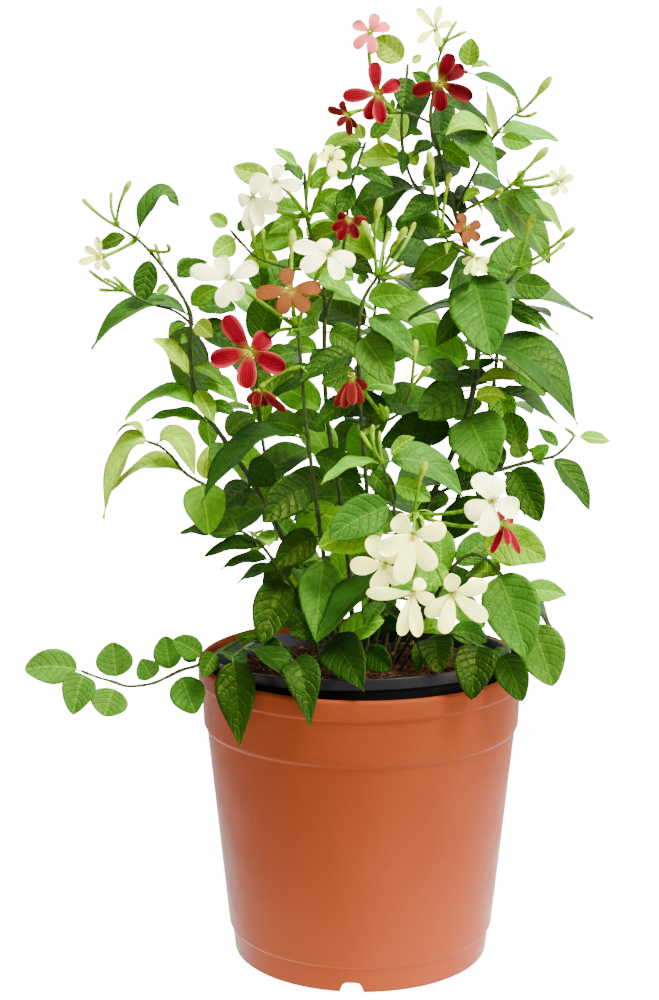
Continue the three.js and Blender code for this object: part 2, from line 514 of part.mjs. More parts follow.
// Flowers: the centre [x, z, y], the tube [start x, start z, bend x, bend z, bend y], the petals' width,
// and the petals' tips [x, z, depth past the centre]
const FLOWERS = [
  {
    name: "corolla_red_top_left", on: "spray_top_left", tone: "red", width: 8.5,
    centre: [8.5, 538.5, -30], tube: [17, 527, 11, 534, -8],
    tips: [[7, 557, 2], [22, 545, 3], [11.5, 521, -3], [3, 523, 1], [-12, 537, -1]],
  },
  {
    name: "corolla_pink_top", on: "spray_top_left", tone: "pink", width: 7,
    centre: [4.5, 575, -10], tube: [19, 527, 1, 546, 0],
    tips: [[8, 585, 3], [16, 578, 4], [6, 562, -4], [-5, 565, -2], [-6, 579, 3]],
  },
  {
    name: "corolla_drooping_top", on: "spray_top_left", tone: "fading", width: 5,
    centre: [-9, 526, -20], tube: [17, 527, 5, 532, -12],
    tips: [[-21, 530, -3], [-15, 519, -6], [-7, 514, -3], [-4, 518, 4], [-13, 534, 6]],
  },
  {
    name: "corolla_red_top_right", on: "spray_top_right", tone: "dark_red", width: 9,
    centre: [46, 545, -22], tube: [45, 557, 46, 549, -2],
    tips: [[53, 562, 0], [66, 536, -3], [47, 528, -2], [30, 539, -1], [60, 554, 6]],
  },
  {
    name: "corolla_cream_top", on: "spray_top_right", tone: "cream", width: 5,
    centre: [43, 577, 2], tube: [47, 563, 45, 571, 4],
    tips: [[32, 588, 2], [33, 568, -3], [46, 566, -4], [53, 580, 4], [46, 590, 5]],
  },
  {
    name: "corolla_white_right", on: "stem_right_top", tone: "cream", width: 5,
    centre: [119, 486, -10], tube: [92, 485, 103, 481, -8],
    tips: [[127, 490, 0], [123, 479, -4], [114, 478, -2], [113, 492, 4], [121, 496, 5]],
  },
  {
    name: "corolla_white_upper", on: "spray_centre", tone: "white", width: 9,
    centre: [-67, 477, -42], tube: [-35, 466, -53, 466, -28],
    tips: [[-69, 457, -4], [-61, 459, -7], [-52, 468, 0], [-62, 489, 4], [-75, 474, 3]],
  },
  {
    name: "corolla_white_upper_right", on: "spray_centre", tone: "white", width: 8,
    centre: [-53, 486, -34], tube: [-34, 466, -43, 480, -28],
    tips: [[-37, 483, 1], [-51, 474, -6], [-61, 477, -3], [-67, 488, 2], [-50, 496, 6]],
  },
  {
    name: "corolla_cream_middle", on: "spray_centre", tone: "cream", width: 6,
    centre: [-19, 500, -34], tube: [-32, 462, -25, 482, -26],
    tips: [[-10, 493, -2], [-11, 504, 3], [-21, 508, 3], [-27, 501, -1], [-18, 489, -5]],
  },
  {
    name: "corolla_crimson_middle", on: "stem_middle", tone: "dark_red", width: 6,
    centre: [-8, 464, -36], tube: [-10, 455, -3, 462, -26],
    tips: [[-18, 457, -3], [-14, 451, -5], [-3, 452, -4], [3, 462, 1], [-15, 466, 4]],
  },
  {
    name: "corolla_white_large", on: "spray_bloom", tone: "white", width: 10,
    centre: [-20, 443, -66], tube: [-39, 398, -34, 418, -62],
    tips: [[-42, 447, 2], [-37, 433, -4], [-14, 427, -5], [-4, 438, 1], [-25, 452, 5]],
  },
  {
    name: "corolla_white_left", on: "spray_bloom", tone: "white", width: 10,
    centre: [-81, 428, -64], tube: [-40, 398, -61, 412, -54],
    tips: [[-105, 433, 0], [-63, 435, 0], [-74, 415, -3], [-86, 410, -4], [-87, 441, 5]],
  },
  {
    name: "corolla_peach", on: "spray_bloom", tone: "peach", width: 9,
    centre: [-44, 421, -76], tube: [-41, 402, -42, 409, -64],
    tips: [[-65, 418, -2], [-50, 406, -4], [-33, 408, -3], [-25, 422, 1], [-47, 434, 4]],
  },
  {
    name: "corolla_red_large", on: "spray_bloom", tone: "red", width: 12,
    centre: [-69, 383, -76], tube: [-38, 396, -51, 401, -56],
    tips: [[-84, 405, 2], [-57, 393, 3], [-47, 373, -2], [-71, 360, -5], [-93, 378, 0]],
  },
  {
    name: "corolla_fading_left", on: "stem_bloom", tone: "fading", width: 6,
    centre: [-63, 360, -66], tube: [-37, 374, -51, 372, -62],
    tips: [[-70, 351, -2], [-65, 349, -5], [-47, 346, -4], [-53, 352, 2], [-59, 350, 6]],
  },
  {
    name: "corolla_folded", on: "spray_yellow", tone: "fading", width: 6,
    centre: [-6, 368, -66], tube: [13, 342, -1, 362, -58],
    tips: [[-16, 349, 0], [-11, 348, -5], [-6, 350, -8], [0, 351, -3], [3, 360, 3]],
  },
  {
    name: "corolla_tan_right", on: "spray_upper_middle", tone: "cream", width: 5,
    centre: [69, 441, -20], tube: [53, 450, 61, 447, -18],
    tips: [[62, 431, -3], [68, 430, -5], [75, 431, -2], [77, 438, 3], [61, 438, 3]],
  },
  {
    name: "corolla_peach_right", on: "spray_upper_middle", tone: "peach", width: 6,
    centre: [63, 459, -22], tube: [49, 455, 56, 455, -12],
    tips: [[71, 451, -4], [63, 449, -6], [55, 458, -4], [59, 467, 3], [72, 461, 4]],
  },
  {
    name: "corolla_cream_left", on: "stem_left", tone: "cream", width: 5,
    centre: [-159, 441, -18], tube: [-143, 442, -151, 443, -16],
    tips: [[-173, 437, -1], [-162, 433, -4], [-154, 433, 1], [-161, 453, 4], [-169, 447, 0]],
  },
  {
    name: "corolla_white_low_left", on: "spray_low", tone: "white", width: 11,
    centre: [14.5, 249, -94], tube: [33, 281, 19, 262, -80],
    tips: [[6, 268, 3], [-7, 249, 0], [10, 231, -4], [26, 238, 2], [26, 262, 5]],
  },
  {
    name: "corolla_white_low", on: "spray_low", tone: "white", width: 12,
    centre: [32, 268, -90], tube: [34, 284, 33, 280, -86],
    tips: [[53, 272, 1], [45, 246, -5], [24, 237, -7], [10, 259, -4], [21, 280, 5]],
  },
  {
    name: "corolla_white_hanging", on: "spray_low", tone: "white", width: 8,
    centre: [32, 231, -100], tube: [34, 282, 37, 256, -82],
    tips: [[3, 231, 4], [25, 204, -2], [36, 203, -5], [46, 226, -3], [39, 240, 4]],
  },
  {
    name: "corolla_white_low_right", on: "spray_low", tone: "white", width: 10,
    centre: [57, 231, -98], tube: [35, 282, 44, 250, -76],
    tips: [[79, 237, 1], [79, 214, -4], [52, 205, -6], [41, 216, -1], [56, 244, -7]],
  },
  {
    name: "corolla_white_right_low", on: "spray_low", tone: "white", width: 13,
    centre: [81, 290, -88], tube: [35, 284, 55, 279, -80],
    tips: [[71, 307, 2], [84, 306, 5], [97, 283, 1], [77, 268, -5], [65, 281, -2]],
  },
  {
    name: "corolla_red_small", on: "spray_low", tone: "red", width: 5,
    centre: [89, 276, -78], tube: [35, 282, 57, 270, -72],
    tips: [[86, 286, 2], [94, 279, 4], [99, 257, -4], [91, 262, -8], [81, 257, -3]],
  },
];

// The plant's outline as seen, which further leaves stay inside
const OUTLINE = [
  [-65, 205], [-73, 240], [-99, 262], [-101, 290], [-101, 330], [-113, 365], [-109, 400], [-91, 436],
  [-77, 462], [-59, 488], [-31, 500], [-1, 515], [19, 530], [49, 535], [75, 512], [97, 498], [107, 470],
  [109, 440], [115, 415], [119, 385], [115, 350], [107, 322], [109, 290], [105, 262], [103, 225],
  [91, 204],
];

function seen([x, z, y]) {
  const scale = 1 - y / EYE.y;
  return new THREE.Vector3(x * scale, y, EYE.z + (z - EYE.z) * scale);
}

function asSeen(point) {
  const scale = 1 - point.y / EYE.y;
  return [point.x / scale, EYE.z + (point.z - EYE.z) / scale];
}

function seededDraw(seed) {
  let state = seed;
  return () => {
    state = (state + 0x6d2b79f5) | 0;
    let mixed = Math.imul(state ^ (state >>> 15), 1 | state);
    mixed = (mixed + Math.imul(mixed ^ (mixed >>> 7), 61 | mixed)) ^ mixed;
    return ((mixed ^ (mixed >>> 14)) >>> 0) / 4294967296;
  };
}

function solidFrom(geometry) {
  const bare = geometry.clone();
  bare.deleteAttribute("normal");
  bare.deleteAttribute("uv");
  const merged = mergeVertices(bare, 1e-4);
  const corners = merged.index.array;
  const kept = [];
  for (let i = 0; i < corners.length; i += 3) {
    const [a, b, c] = corners.slice(i, i + 3);
    if (a !== b && b !== c && c !== a) kept.push(a, b, c);
  }
  const vertProperties = new Float32Array(merged.attributes.position.array);
  return new wasm.Manifold(
    new wasm.Mesh({ numProp: 3, vertProperties, triVerts: new Uint32Array(kept) }),
  );
}

function geometryOf(solid) {
  const { numVert, numProp, vertProperties, triVerts } = solid.getMesh();
  const positions = new Float32Array(numVert * 3);
  for (let i = 0; i < numVert; i++) {
    positions.set(vertProperties.subarray(i * numProp, i * numProp + 3), i * 3);
  }
  const geometry = new THREE.BufferGeometry();
  geometry.setAttribute("position", new THREE.BufferAttribute(positions, 3));
  geometry.setIndex(new THREE.BufferAttribute(triVerts, 1));
  return geometry;
}

const joined = (solids) => solids.reduce((whole, solid) => whole.add(solid));

// A closed tube through the points, with its own radius at each.
function tubeThrough(points, radii, sides) {
  const spans = points.length - 1;
  const tube = new THREE.CylinderGeometry(1, 1, spans, sides, spans);
  const position = tube.attributes.position;
  const first = points[1].clone().sub(points[0]).normalize();
  const normal = Math.abs(first.y) < 0.7 ? new THREE.Vector3(0, 1, 0) : new THREE.Vector3(1, 0, 0);
  const frames = points.map((_, i) => {
    const before = points[Math.max(i - 1, 0)];
    const after = points[Math.min(i + 1, spans)];
    const along = after.clone().sub(before).normalize();
    normal.addScaledVector(along, -normal.dot(along)).normalize();
    return { normal: normal.clone(), side: normal.clone().cross(along) };
  });
  for (let i = 0; i < position.count; i++) {
    const at = Math.round(position.getY(i) + spans / 2);
    const place = points[at].clone();
    place.addScaledVector(frames[at].normal, position.getX(i) * radii[at]);
    place.addScaledVector(frames[at].side, position.getZ(i) * radii[at]);
    position.setXYZ(i, place.x, place.y, place.z);
  }
  return solidFrom(tube);
}

// A plate of even thickness from its corners, the triangles of its upper face, and the corners in order
// around its edge. Both faces are split into triangles alike, and a corner may name its own place under it.
function plateFrom(corners, faces, around, thickness) {
  const count = corners.length;
  const upper = corners.map(({ place, normal }) => place.clone().addScaledVector(normal, thickness / 2));
  const lower = corners.map(({ place, normal, under }) => {
    return under ?? place.clone().addScaledVector(normal, -thickness / 2);
  });
  const triangles = faces.flatMap(([a, b, c]) => [a, b, c, a + count, c + count, b + count]);
  around.forEach((a, i) => {
    const b = around[(i + 1) % around.length];
    triangles.push(a, a + count, b + count, a, b + count, b);
  });
  const geometry = new THREE.BufferGeometry().setFromPoints([...upper, ...lower]);
  geometry.setIndex(triangles);
  return solidFrom(geometry);
}

// A blade from rows of one to three corners that run from its root to its tip
function bladeFrom(rows, thickness) {
  const faces = [];
  const starts = rows.map((_, r) => rows.slice(0, r).flat().length);
  for (let r = 0; r + 1 < rows.length; r++) {
    const here = rows[r].length - 1;
    const next = rows[r + 1].length - 1;
    let i = 0;
    let j = 0;
    while (i < here || j < next) {
      const [a, b] = [starts[r] + i, starts[r + 1] + j];
      if (j === next || (i < here && (i + 1) * next <= (j + 1) * here)) {
        faces.push([a, a + 1, b]);
        i += 1;
      } else {
        faces.push([a, b + 1, b]);
        j += 1;
      }
    }
  }
  const rights = rows.map((row, r) => starts[r] + row.length - 1);
  const firstRow = rows[0].map((_, i) => starts[0] + i);
  const lastRow = rows.at(-1).map((_, i) => starts.at(-1) + i).reverse();
  const around = [...firstRow, ...rights.slice(1, -1), ...lastRow, ...starts.slice(1, -1).reverse()];
  return plateFrom(rows.flat(), faces, around, thickness);
}

function outerRadiusAt(z) {
  if (z > LIP_HEIGHT - 1) return RIM_RADIUS;
  const share = (z - SKIRT_HEIGHT) / (LIP_HEIGHT - SKIRT_HEIGHT);
  return Math.max(BASE_RADIUS, SKIRT_RADIUS + (LIP_RADIUS - SKIRT_RADIUS) * share);
}

function arch(start, bend, end, u) {
  const point = start.clone().multiplyScalar((1 - u) * (1 - u));
  point.addScaledVector(bend, 2 * u * (1 - u));
  return point.addScaledVector(end, u * u);
}

function archDirection(start, bend, end, u) {
  const direction = bend.clone().sub(start).multiplyScalar(1 - u);
  return direction.addScaledVector(end.clone().sub(bend), u).normalize();
}

const squareTo = (vector, axis) => vector.clone().addScaledVector(axis, -vector.dot(axis)).normalize();

// Half the width of a leaf at a share of its length: egg-shaped with a drawn-out tip, rounder when broad.
function leafHalfWidth(leaf, share) {
  const round = leaf.width / leaf.length > ROUND_RATIO;
  const swell = Math.sin(Math.PI * Math.pow(share, round ? 0.85 : 0.8));
  const tipCut = 1 - (round ? 0.15 : 0.45) * Math.pow(share, 6);
  return (leaf.width / 2) * Math.pow(Math.max(swell, 0), round ? 0.6 : 0.8) * tipCut;
}

function leafPoint(leaf, share, across) {
  const u = leaf.petiole + (1 - leaf.petiole) * share;
  const along = archDirection(leaf.root, leaf.bend, leaf.tip, u);
  const normal = squareTo(leaf.face, along);
  const side = along.clone().cross(normal);
  const half = Math.max(leafHalfWidth(leaf, share), share < 0.5 ? PETIOLE_WIDTH / 2 : 0);
  const place = arch(leaf.root, leaf.bend, leaf.tip, u);
  place.addScaledVector(side, across * half);
  place.addScaledVector(normal, FOLD * half * Math.abs(across));
  return { place, normal };
}

// The leaf's solid starts as a point inside the stem, and has more rows in a longer blade.
function leafSolid(leaf) {
  const normal = squareTo(leaf.face, archDirection(leaf.root, leaf.bend, leaf.tip, 0));
  const rows = [[{ place: leaf.root, normal }]];
  if (leaf.stalk > SHORT_STALK) rows.push([-1, 1].map((hand) => leafPoint(leaf, 0, hand)));
  const measure = leaf.isFurther ? Math.max(leaf.length - FURTHER_PLAINER, 1) : leaf.length;
  const [, shares] = BLADE_ROWS.find(([least]) => measure > least);
  shares.forEach((share) => rows.push([-1, 0, 1].map((hand) => leafPoint(leaf, share, hand))));
  rows.push([leafPoint(leaf, 1, 0)]);
  return bladeFrom(rows, BLADE_THICKNESS);
}

function leafSamples(leaf) {
  const samples = [];
  const steps = Math.ceil(leaf.length / SAMPLE_STEP);
  const lanes = Math.ceil(leaf.width / SAMPLE_STEP / 2);
  for (let i = 0; i <= steps; i++) {
    for (let j = -lanes; j <= lanes; j++) {
      samples.push(leafPoint(leaf, i / steps, j / lanes).place);
    }
  }
  const stalkSteps = Math.ceil(leaf.stalk / SAMPLE_STEP);
  for (let i = 0; i < stalkSteps; i++) {
    samples.push(arch(leaf.root, leaf.bend, leaf.tip, (leaf.petiole * i) / stalkSteps));
  }
  return samples;
}

// The face that turns the leaf's upper side up and out, and shows it as broad as it was seen.
function seenFace(leaf, seenWidth) {
  const middle = arch(leaf.root, leaf.bend, leaf.tip, 0.5);
  const along = leaf.tip.clone().sub(leaf.root).normalize();
  const toEye = squareTo(EYE.clone().sub(middle), along);
  const turned = along.clone().cross(toEye);
  const share = Math.min(seenWidth / leaf.width, 1);
  const rest = Math.sqrt(1 - share * share);
  const outward = new THREE.Vector3(middle.x, middle.y, 0).normalize();
  const [left, right] = [1, -1].map((sign) => {
    return toEye.clone().multiplyScalar(share).addScaledVector(turned, sign * rest);
  });
  const rise = (face) => face.z + 0.4 * face.dot(outward);
  return rise(left) >= rise(right) ? left : right;
}

function makeLeaf(root, stalk, tip, lift) {
  const bend = root.clone().add(tip).multiplyScalar(0.5);
  bend.z += 2 * lift;
  const chord = root.distanceTo(tip);
  const whole = (2 * chord + root.distanceTo(bend) + bend.distanceTo(tip)) / 3;
  const petiole = Math.min(stalk / whole, 0.5);
  return { root, bend, tip, petiole, stalk: petiole * whole, length: whole * (1 - petiole) };
}

function nearestOn(trace, x, z) {
  let best = trace[0];
  let least = Infinity;
  trace.forEach((point) => {
    const [px, pz] = asSeen(point);
    const distance = Math.hypot(px - x, pz - z);
    if (distance < least) {
      best = point;
      least = distance;
    }
  });
  return { point: best, distance: least };
}

// The nursery pot's own axis, and the height of a place over its rim and its distance from that axis
const innerAxis = new THREE.Vector3(-RISE_TO_RIGHT, RISE_TO_FRONT, 1).normalize();
const innerRim = new THREE.Vector3(0, 0, INNER_RIM_CENTRE);

function inNursery(place) {
  const fromRim = place.clone().sub(innerRim);
  const height = fromRim.dot(innerAxis);
  return { height, radius: fromRim.addScaledVector(innerAxis, -height).length() };
}

function clearsPots(place) {
  const { height, radius } = inNursery(place);
  const across = Math.hypot(place.x, place.y);
  if (across > (place.z > POT_HEIGHT + 2.5 ? RIM_RADIUS - 3 : outerRadiusAt(place.z) + 2)) return true;
  if (radius < INNER_RIM_RADIUS - 6) return height > SOIL_DOME - SOIL_BELOW_RIM + 2.5;
  return height > 2 && place.z > POT_HEIGHT + 2.5;
}

// Everything placed so far: its node, the points on it, and how far it reaches round them
const taken = [];

function take(node, points, reach, isStem) {
  const seenPoints = points.map((point) => new THREE.Vector2(...asSeen(point)));
  const window = new THREE.Box2().setFromPoints(seenPoints).expandByScalar(SAMPLE_STEP);
  const box = new THREE.Box3().setFromPoints(points);
  taken.push({ node, points, reach, isStem, seenPoints, window, box });
}

// Whether a further leaf would stand before what is placed as seen
function hidesSeen(points) {
  const shown = points.map((point) => new THREE.Vector2(...asSeen(point)));
  const allowed = points.length * FURTHER_OVERLAP;
  let hiding = 0;
  shown.forEach((spot, i) => {
    const before = taken.some((other) => {
      if (other.isStem || other.isFurther || !other.window.containsPoint(spot)) return false;
      return other.points.some((point, k) => {
        return point.y > points[i].y && spot.distanceTo(other.seenPoints[k]) < SAMPLE_STEP;
      });
    });
    if (before) hiding += 1;
  });
  return hiding > allowed;
}

function isClear(node, points, reach, root) {
  const box = new THREE.Box3().setFromPoints(points);
  return taken.every((other) => {
    const own = other.node === node;
    if (own && other.isStem) return true;
    const near = reach + other.reach + CLEAR;
    const zone = box.clone().expandByScalar(near);
    if (!zone.intersectsBox(other.box)) return true;
    const kin = own || other.node === hostOf.get(node);
    const close = other.points.filter((point) => zone.containsPoint(point));
    return points.every((point) => {
      if (kin && point.distanceTo(root) < ROOT_ZONE) return true;
      return close.every((place) => point.distanceToSquared(place) > near * near);
    });
  });
}

const solidsOf = new Map();
const hostOf = new Map();
const nodeOf = new Map();
const traces = new Map();
const stalks = new Map();

function grow(node, solid) {
  solidsOf.set(node, [...(solidsOf.get(node) ?? []), solid]);
}

function placeStem({ name, node = name, on, radii, points }) {
  const places = points.map(seen);
  if (on) {
    places[0] = nearestOn(traces.get(on), ...points[0]).point.clone();
  } else {
    places.unshift(places[0].clone().setZ(places[0].z - ROOT_DEPTH));
  }
  const curve = new THREE.CatmullRomCurve3(places, false, "catmullrom", 0.5);
  const gaps = places.length - 1;
  const spread = places.slice(1).reduce((sum, place, i) => sum + place.distanceTo(places[i]), 0);
  const spans = spread / gaps > LONG_SPAN ? 2 * gaps : gaps;
  const [thick, thin] = radii;
  const centres = curve.getPoints(spans);
  const widths = centres.map((_, i) => thick + ((thin - thick) * i) / spans);
  const sides = on ? BRANCH_SIDES : STEM_SIDES;
  const trace = centres.slice(1).flatMap((centre, i) => {
    return Array.from({ length: TRACE_STEPS }, (_, k) => centres[i].clone().lerp(centre, k / TRACE_STEPS));
  });
  traces.set(name, trace);
  nodeOf.set(name, node);
  if (node === name) {
    hostOf.set(node, on);
    stalks.set(node, { centres, widths, sides });
  }
  grow(node, tubeThrough(centres, widths, sides));
  take(node, trace, (thick + thin) / 2, true);
}

// The room that a stem needs in what it stands in or forks from
function roomFor({ centres, widths, sides }) {
  const places = centres.map((centre) => centre.clone());
  places[0].addScaledVector(places[0].clone().sub(places[1]).normalize(), GAP);
  return tubeThrough(places, widths.map((width) => width + GAP + 0.1), sides);
}

function archTube(start, bend, end, shares, widths) {
  return tubeThrough(shares.map((share) => arch(start, bend, end, share)), widths, TUBE_SIDES);
}

function archSamples(start, bend, end) {
  const steps = Math.ceil((start.distanceTo(bend) + bend.distanceTo(end)) / SAMPLE_STEP);
  return Array.from({ length: steps + 1 }, (_, i) => arch(start, bend, end, i / steps));
}

// A flower's petals as ribbons from its hub: each as [place, half width, face] at its stations
function petalRows(centre, tip, width, facing) {
  const along = tip.clone().sub(centre).normalize();
  const normal = squareTo(facing, along);
  const side = along.clone().cross(normal);
  const foot = centre.clone().addScaledVector(along, PETAL_FOOT);
  const bend = centre.clone().add(tip).multiplyScalar(0.5).addScaledVector(normal, PETAL_ARCH * width);
  return PETAL_STATIONS.map(([share, fullness]) => {
    const place = arch(foot, bend, tip, share);
    const hands = fullness > 0 ? [-1, 1] : [0];
    return hands.map((hand) => ({
      place: place.clone().addScaledVector(side, (hand * fullness * width) / 2),
      normal,
    }));
  });
}

// Petals that spread apart share their valleys in one star, and folded ones are joined by a hub.
function corollaSolids(middle, facing, back, petals) {
  const across = squareTo(petals[0].at(-1)[0].place.clone().sub(middle), facing);
  const up = facing.clone().cross(across);
  const spread = petals.map((rows) => {
    const [left, right] = rows[1].map((corner) => corner.place);
    const out = left.clone().add(right).multiplyScalar(0.5).sub(middle);
    const half = Math.atan2(left.distanceTo(right) / 2, out.length());
    return { rows, angle: Math.atan2(out.dot(up), out.dot(across)), half };
  });
  spread.sort((a, b) => a.angle - b.angle);
  const gaps = spread.map(({ angle }, i) => {
    const next = spread[(i + 1) % spread.length].angle;
    return next > angle ? next - angle : next - angle + 2 * Math.PI;
  });
  const apart = gaps.every((gap, i) => gap > spread[i].half + spread[(i + 1) % spread.length].half);
  if (!apart) {
    const upward = new THREE.Vector3(0, 0, 1);
    const turn = new THREE.Quaternion().setFromUnitVectors(upward, back.clone().normalize());
    const hub = new THREE.OctahedronGeometry(HUB_RADIUS).applyQuaternion(turn);
    hub.translate(...middle.toArray());
    return [solidFrom(hub), ...petals.map((rows) => bladeFrom(rows, PETAL_THICKNESS))];
  }
  const corners = [{ place: middle, normal: facing, under: middle.clone().add(back) }];
  const faces = [];
  const around = [];
  spread.forEach(({ rows, angle }, i) => {
    const turn = angle + gaps[i] / 2;
    const valley = middle.clone().addScaledVector(across, HUB_RADIUS * Math.cos(turn));
    valley.addScaledVector(up, HUB_RADIUS * Math.sin(turn));
    const first = corners.length;
    const before = i === 0 ? 1 + 5 * (spread.length - 1) + 4 : first - 1;
    corners.push(rows[1][1], rows[2][1], rows[2][0], rows[1][0], { place: valley, normal: facing });
    const [right, tipRight, tipLeft, left, after] = [0, 1, 2, 3, 4].map((k) => first + k);
    faces.push([0, before, after], [before, right, left], [before, left, after]);
    faces.push([right, tipRight, tipLeft], [right, tipLeft, left]);
    around.push(right, tipRight, tipLeft, left, after);
  });
  return [plateFrom(corners, faces, around, PETAL_THICKNESS)];
}

function ribbonSamples(rows) {
  const samples = [];
  for (let i = 0; i + 1 < rows.length; i++) {
    const [a, b = a] = rows[i].map((corner) => corner.place);
    const [c, d] = rows[i + 1].map((corner) => corner.place);
    const steps = Math.ceil(Math.max(a.distanceTo(c), b.distanceTo(d)) / SAMPLE_STEP);
    const lanes = Math.ceil(Math.max(a.distanceTo(b), c.distanceTo(d)) / SAMPLE_STEP);
    for (let u = 0; u <= steps; u++) {
      const left = a.clone().lerp(c, u / steps);
      const right = b.clone().lerp(d, u / steps);
      for (let v = 0; v <= lanes; v++) samples.push(left.clone().lerp(right, v / lanes));
    }
  }
  return samples;
}

function flowerAt(row, push) {
  const { on, centre, tube, width, tips } = row;
  const middle = seen([centre[0], centre[1], centre[2] + push]);
  const ends = tips.map(([x, z, past]) => seen([x, z, centre[2] + past + push]));
  const start = nearestOn(traces.get(on), tube[0], tube[1]).point;
  const bend = seen([tube[2], tube[3], tube[4] + push / 2]);
  const along = middle.clone().sub(bend).normalize();
  const end = middle.clone().addScaledVector(along, -HUB_RADIUS - MOUTH_GAP);
  const facing = EYE.clone().sub(middle).normalize().addScaledVector(along, 0.6).normalize();
  const petals = ends.map((tip) => petalRows(middle, tip, width, facing));
  return { middle, facing, petals, start, bend, end };
}

function placeFlower(row) {
  const { name, on } = row;
  const push = PUSHES.find((trial) => {
    const { petals, start, bend, end } = flowerAt(row, trial);
    const petalsClear = petals.every((rows) => isClear(name, ribbonSamples(rows), 0.4, start));
    return petalsClear && isClear(on, archSamples(start, bend, end), TUBE_MOUTH, start);
  });
  const { middle, facing, petals, start, bend, end } = flowerAt(row, push ?? 0);
  const widths = [TUBE_RADIUS, TUBE_RADIUS, TUBE_RADIUS, TUBE_MOUTH];
  grow(on, archTube(start, bend, end, [0, 0.35, 0.7, 1], widths));
  take(on, archSamples(start, bend, end), TUBE_MOUTH, false);
  const back = middle.clone().sub(end).setLength(-HUB_RADIUS);
  corollaSolids(middle, facing, back, petals).forEach((solid) => grow(name, solid));
  petals.forEach((rows) => take(name, ribbonSamples(rows), 0.4, false));
}

function placeBud(on, [startX, startZ, bendX, bendZ, bendY, endX, endZ, endY, budLength]) {
  const node = nodeOf.get(on);
  const start = nearestOn(traces.get(on), startX, startZ).point;
  const reach = (push) => [seen([bendX, bendZ, bendY + push / 2]), seen([endX, endZ, endY + push])];
  const push = PUSHES.find((trial) => {
    return isClear(node, archSamples(start, ...reach(trial)), BUD_RADIUS, start);
  });
  const [bend, end] = reach(push ?? 0);
  const length = start.distanceTo(bend) + bend.distanceTo(end);
  const neck = 1 - budLength / length;
  const girth = Math.min(BUD_RADIUS, budLength * BUD_GIRTH);
  const shares = [0, neck, 1 - 0.55 * (1 - neck), 1];
  grow(node, archTube(start, bend, end, shares, [TUBE_RADIUS, TUBE_RADIUS + 0.2, girth, 0.5]));
  take(node, archSamples(start, bend, end), girth, false);
}

function finishLeaf(node, leaf) {
  grow(node, leafSolid(leaf));
  take(node, leaf.samples, BLADE_THICKNESS / 2, false);
  taken.at(-1).isFurther = Boolean(leaf.isFurther);
}

function leafFits(node, leaf) {
  leaf.samples = leafSamples(leaf);
  const { samples, root } = leaf;
  const free = samples.filter((sample) => sample.distanceTo(root) > ROOT_ZONE);
  return free.every(clearsPots) && isClear(node, samples, BLADE_THICKNESS / 2, root);
}

// A leaf as seen slides along the line of sight, lifts or moves its foot along the stem until it is clear,
// and one that is never clear is left out.
const leafTrials = PUSHES.flatMap((push) => {
  return LIFTS.flatMap((raise) => SHIFTS.map((shift) => [push, raise, shift]));
});
const effort = ([push, raise, shift]) => Math.abs(push) + 1.5 * Math.abs(raise) + 2 * Math.abs(shift);
leafTrials.sort((a, b) => effort(a) - effort(b));

function placeSeenLeaf(stem, [baseX, baseZ, tipX, tipZ, depth, seenWidth, lift]) {
  const node = nodeOf.get(stem.name);
  const trace = traces.get(stem.name);
  const { point, distance } = nearestOn(trace, baseX, baseZ);
  const stalk = Math.min(Math.max(distance, 4), 24);
  const at = trace.indexOf(point);
  for (const [push, raise, shift] of leafTrials) {
    const root = trace[Math.min(Math.max(at + shift, 0), trace.length - 1)];
    const tip = seen([tipX, tipZ, root.y + depth + push]);
    const leaf = makeLeaf(root, stalk, tip, lift + raise);
    leaf.width = Math.max(seenWidth, BLADE_RATIO * leaf.length);
    leaf.face = seenFace(leaf, seenWidth);
    if (leafFits(node, leaf)) {
      finishLeaf(node, leaf);
      return;
    }
  }
}

function insideOutline([x, z]) {
  let inside = false;
  OUTLINE.forEach(([ax, az], i) => {
    const [bx, bz] = OUTLINE[(i + 1) % OUTLINE.length];
    if (az > z !== bz > z && x < ax + ((z - az) * (bx - ax)) / (bz - az)) inside = !inside;
  });
  return inside;
}

// Pairs of further leaves up each stem, turned a quarter round from pair to pair, behind what is seen
function placeFurtherLeaves(stem, draw) {
  const node = nodeOf.get(stem.name);
  const trace = traces.get(stem.name);
  const spacing = stem.leaves.length ? FURTHER_SPACING : BACK_SPACING;
  const step = Math.round((spacing * trace.length) / lengthOf(trace));
  let turn = draw() * Math.PI;
  for (let at = step; at < trace.length; at += step) {
    turn += Math.PI / 2;
    for (const half of [0, Math.PI]) {
      for (let trial = 0; trial < FURTHER_TRIES; trial++) {
        const heading = turn + half + (draw() - 0.5) * HEADING_SWING;
        const reach = stem.size * (LEAST_REACH + REACH_SWING * draw());
        const rise = HIGHEST_RISE - RISE_SWING * draw();
        const root = trace[at];
        const outward = new THREE.Vector3(Math.cos(heading), Math.sin(heading), 0);
        const tip = root.clone().addScaledVector(outward, reach * OUTWARD_SHARE);
        tip.z += reach * rise;
        const leaf = makeLeaf(root, FURTHER_STALK, tip, reach * FURTHER_ARCH);
        leaf.width = FURTHER_RATIO * leaf.length;
        leaf.isFurther = true;
        leaf.face = new THREE.Vector3(0, 0, 1).addScaledVector(outward, OUTWARD_LEAN).normalize();
        const ends = [0.5, 1].map((share) => leafPoint(leaf, share, 0).place);
        if (!ends.every((place) => insideOutline(asSeen(place)))) continue;
        if (leafFits(node, leaf) && !hidesSeen(leaf.samples)) {
          finishLeaf(node, leaf);
          break;
        }
      }
    }
  }
}

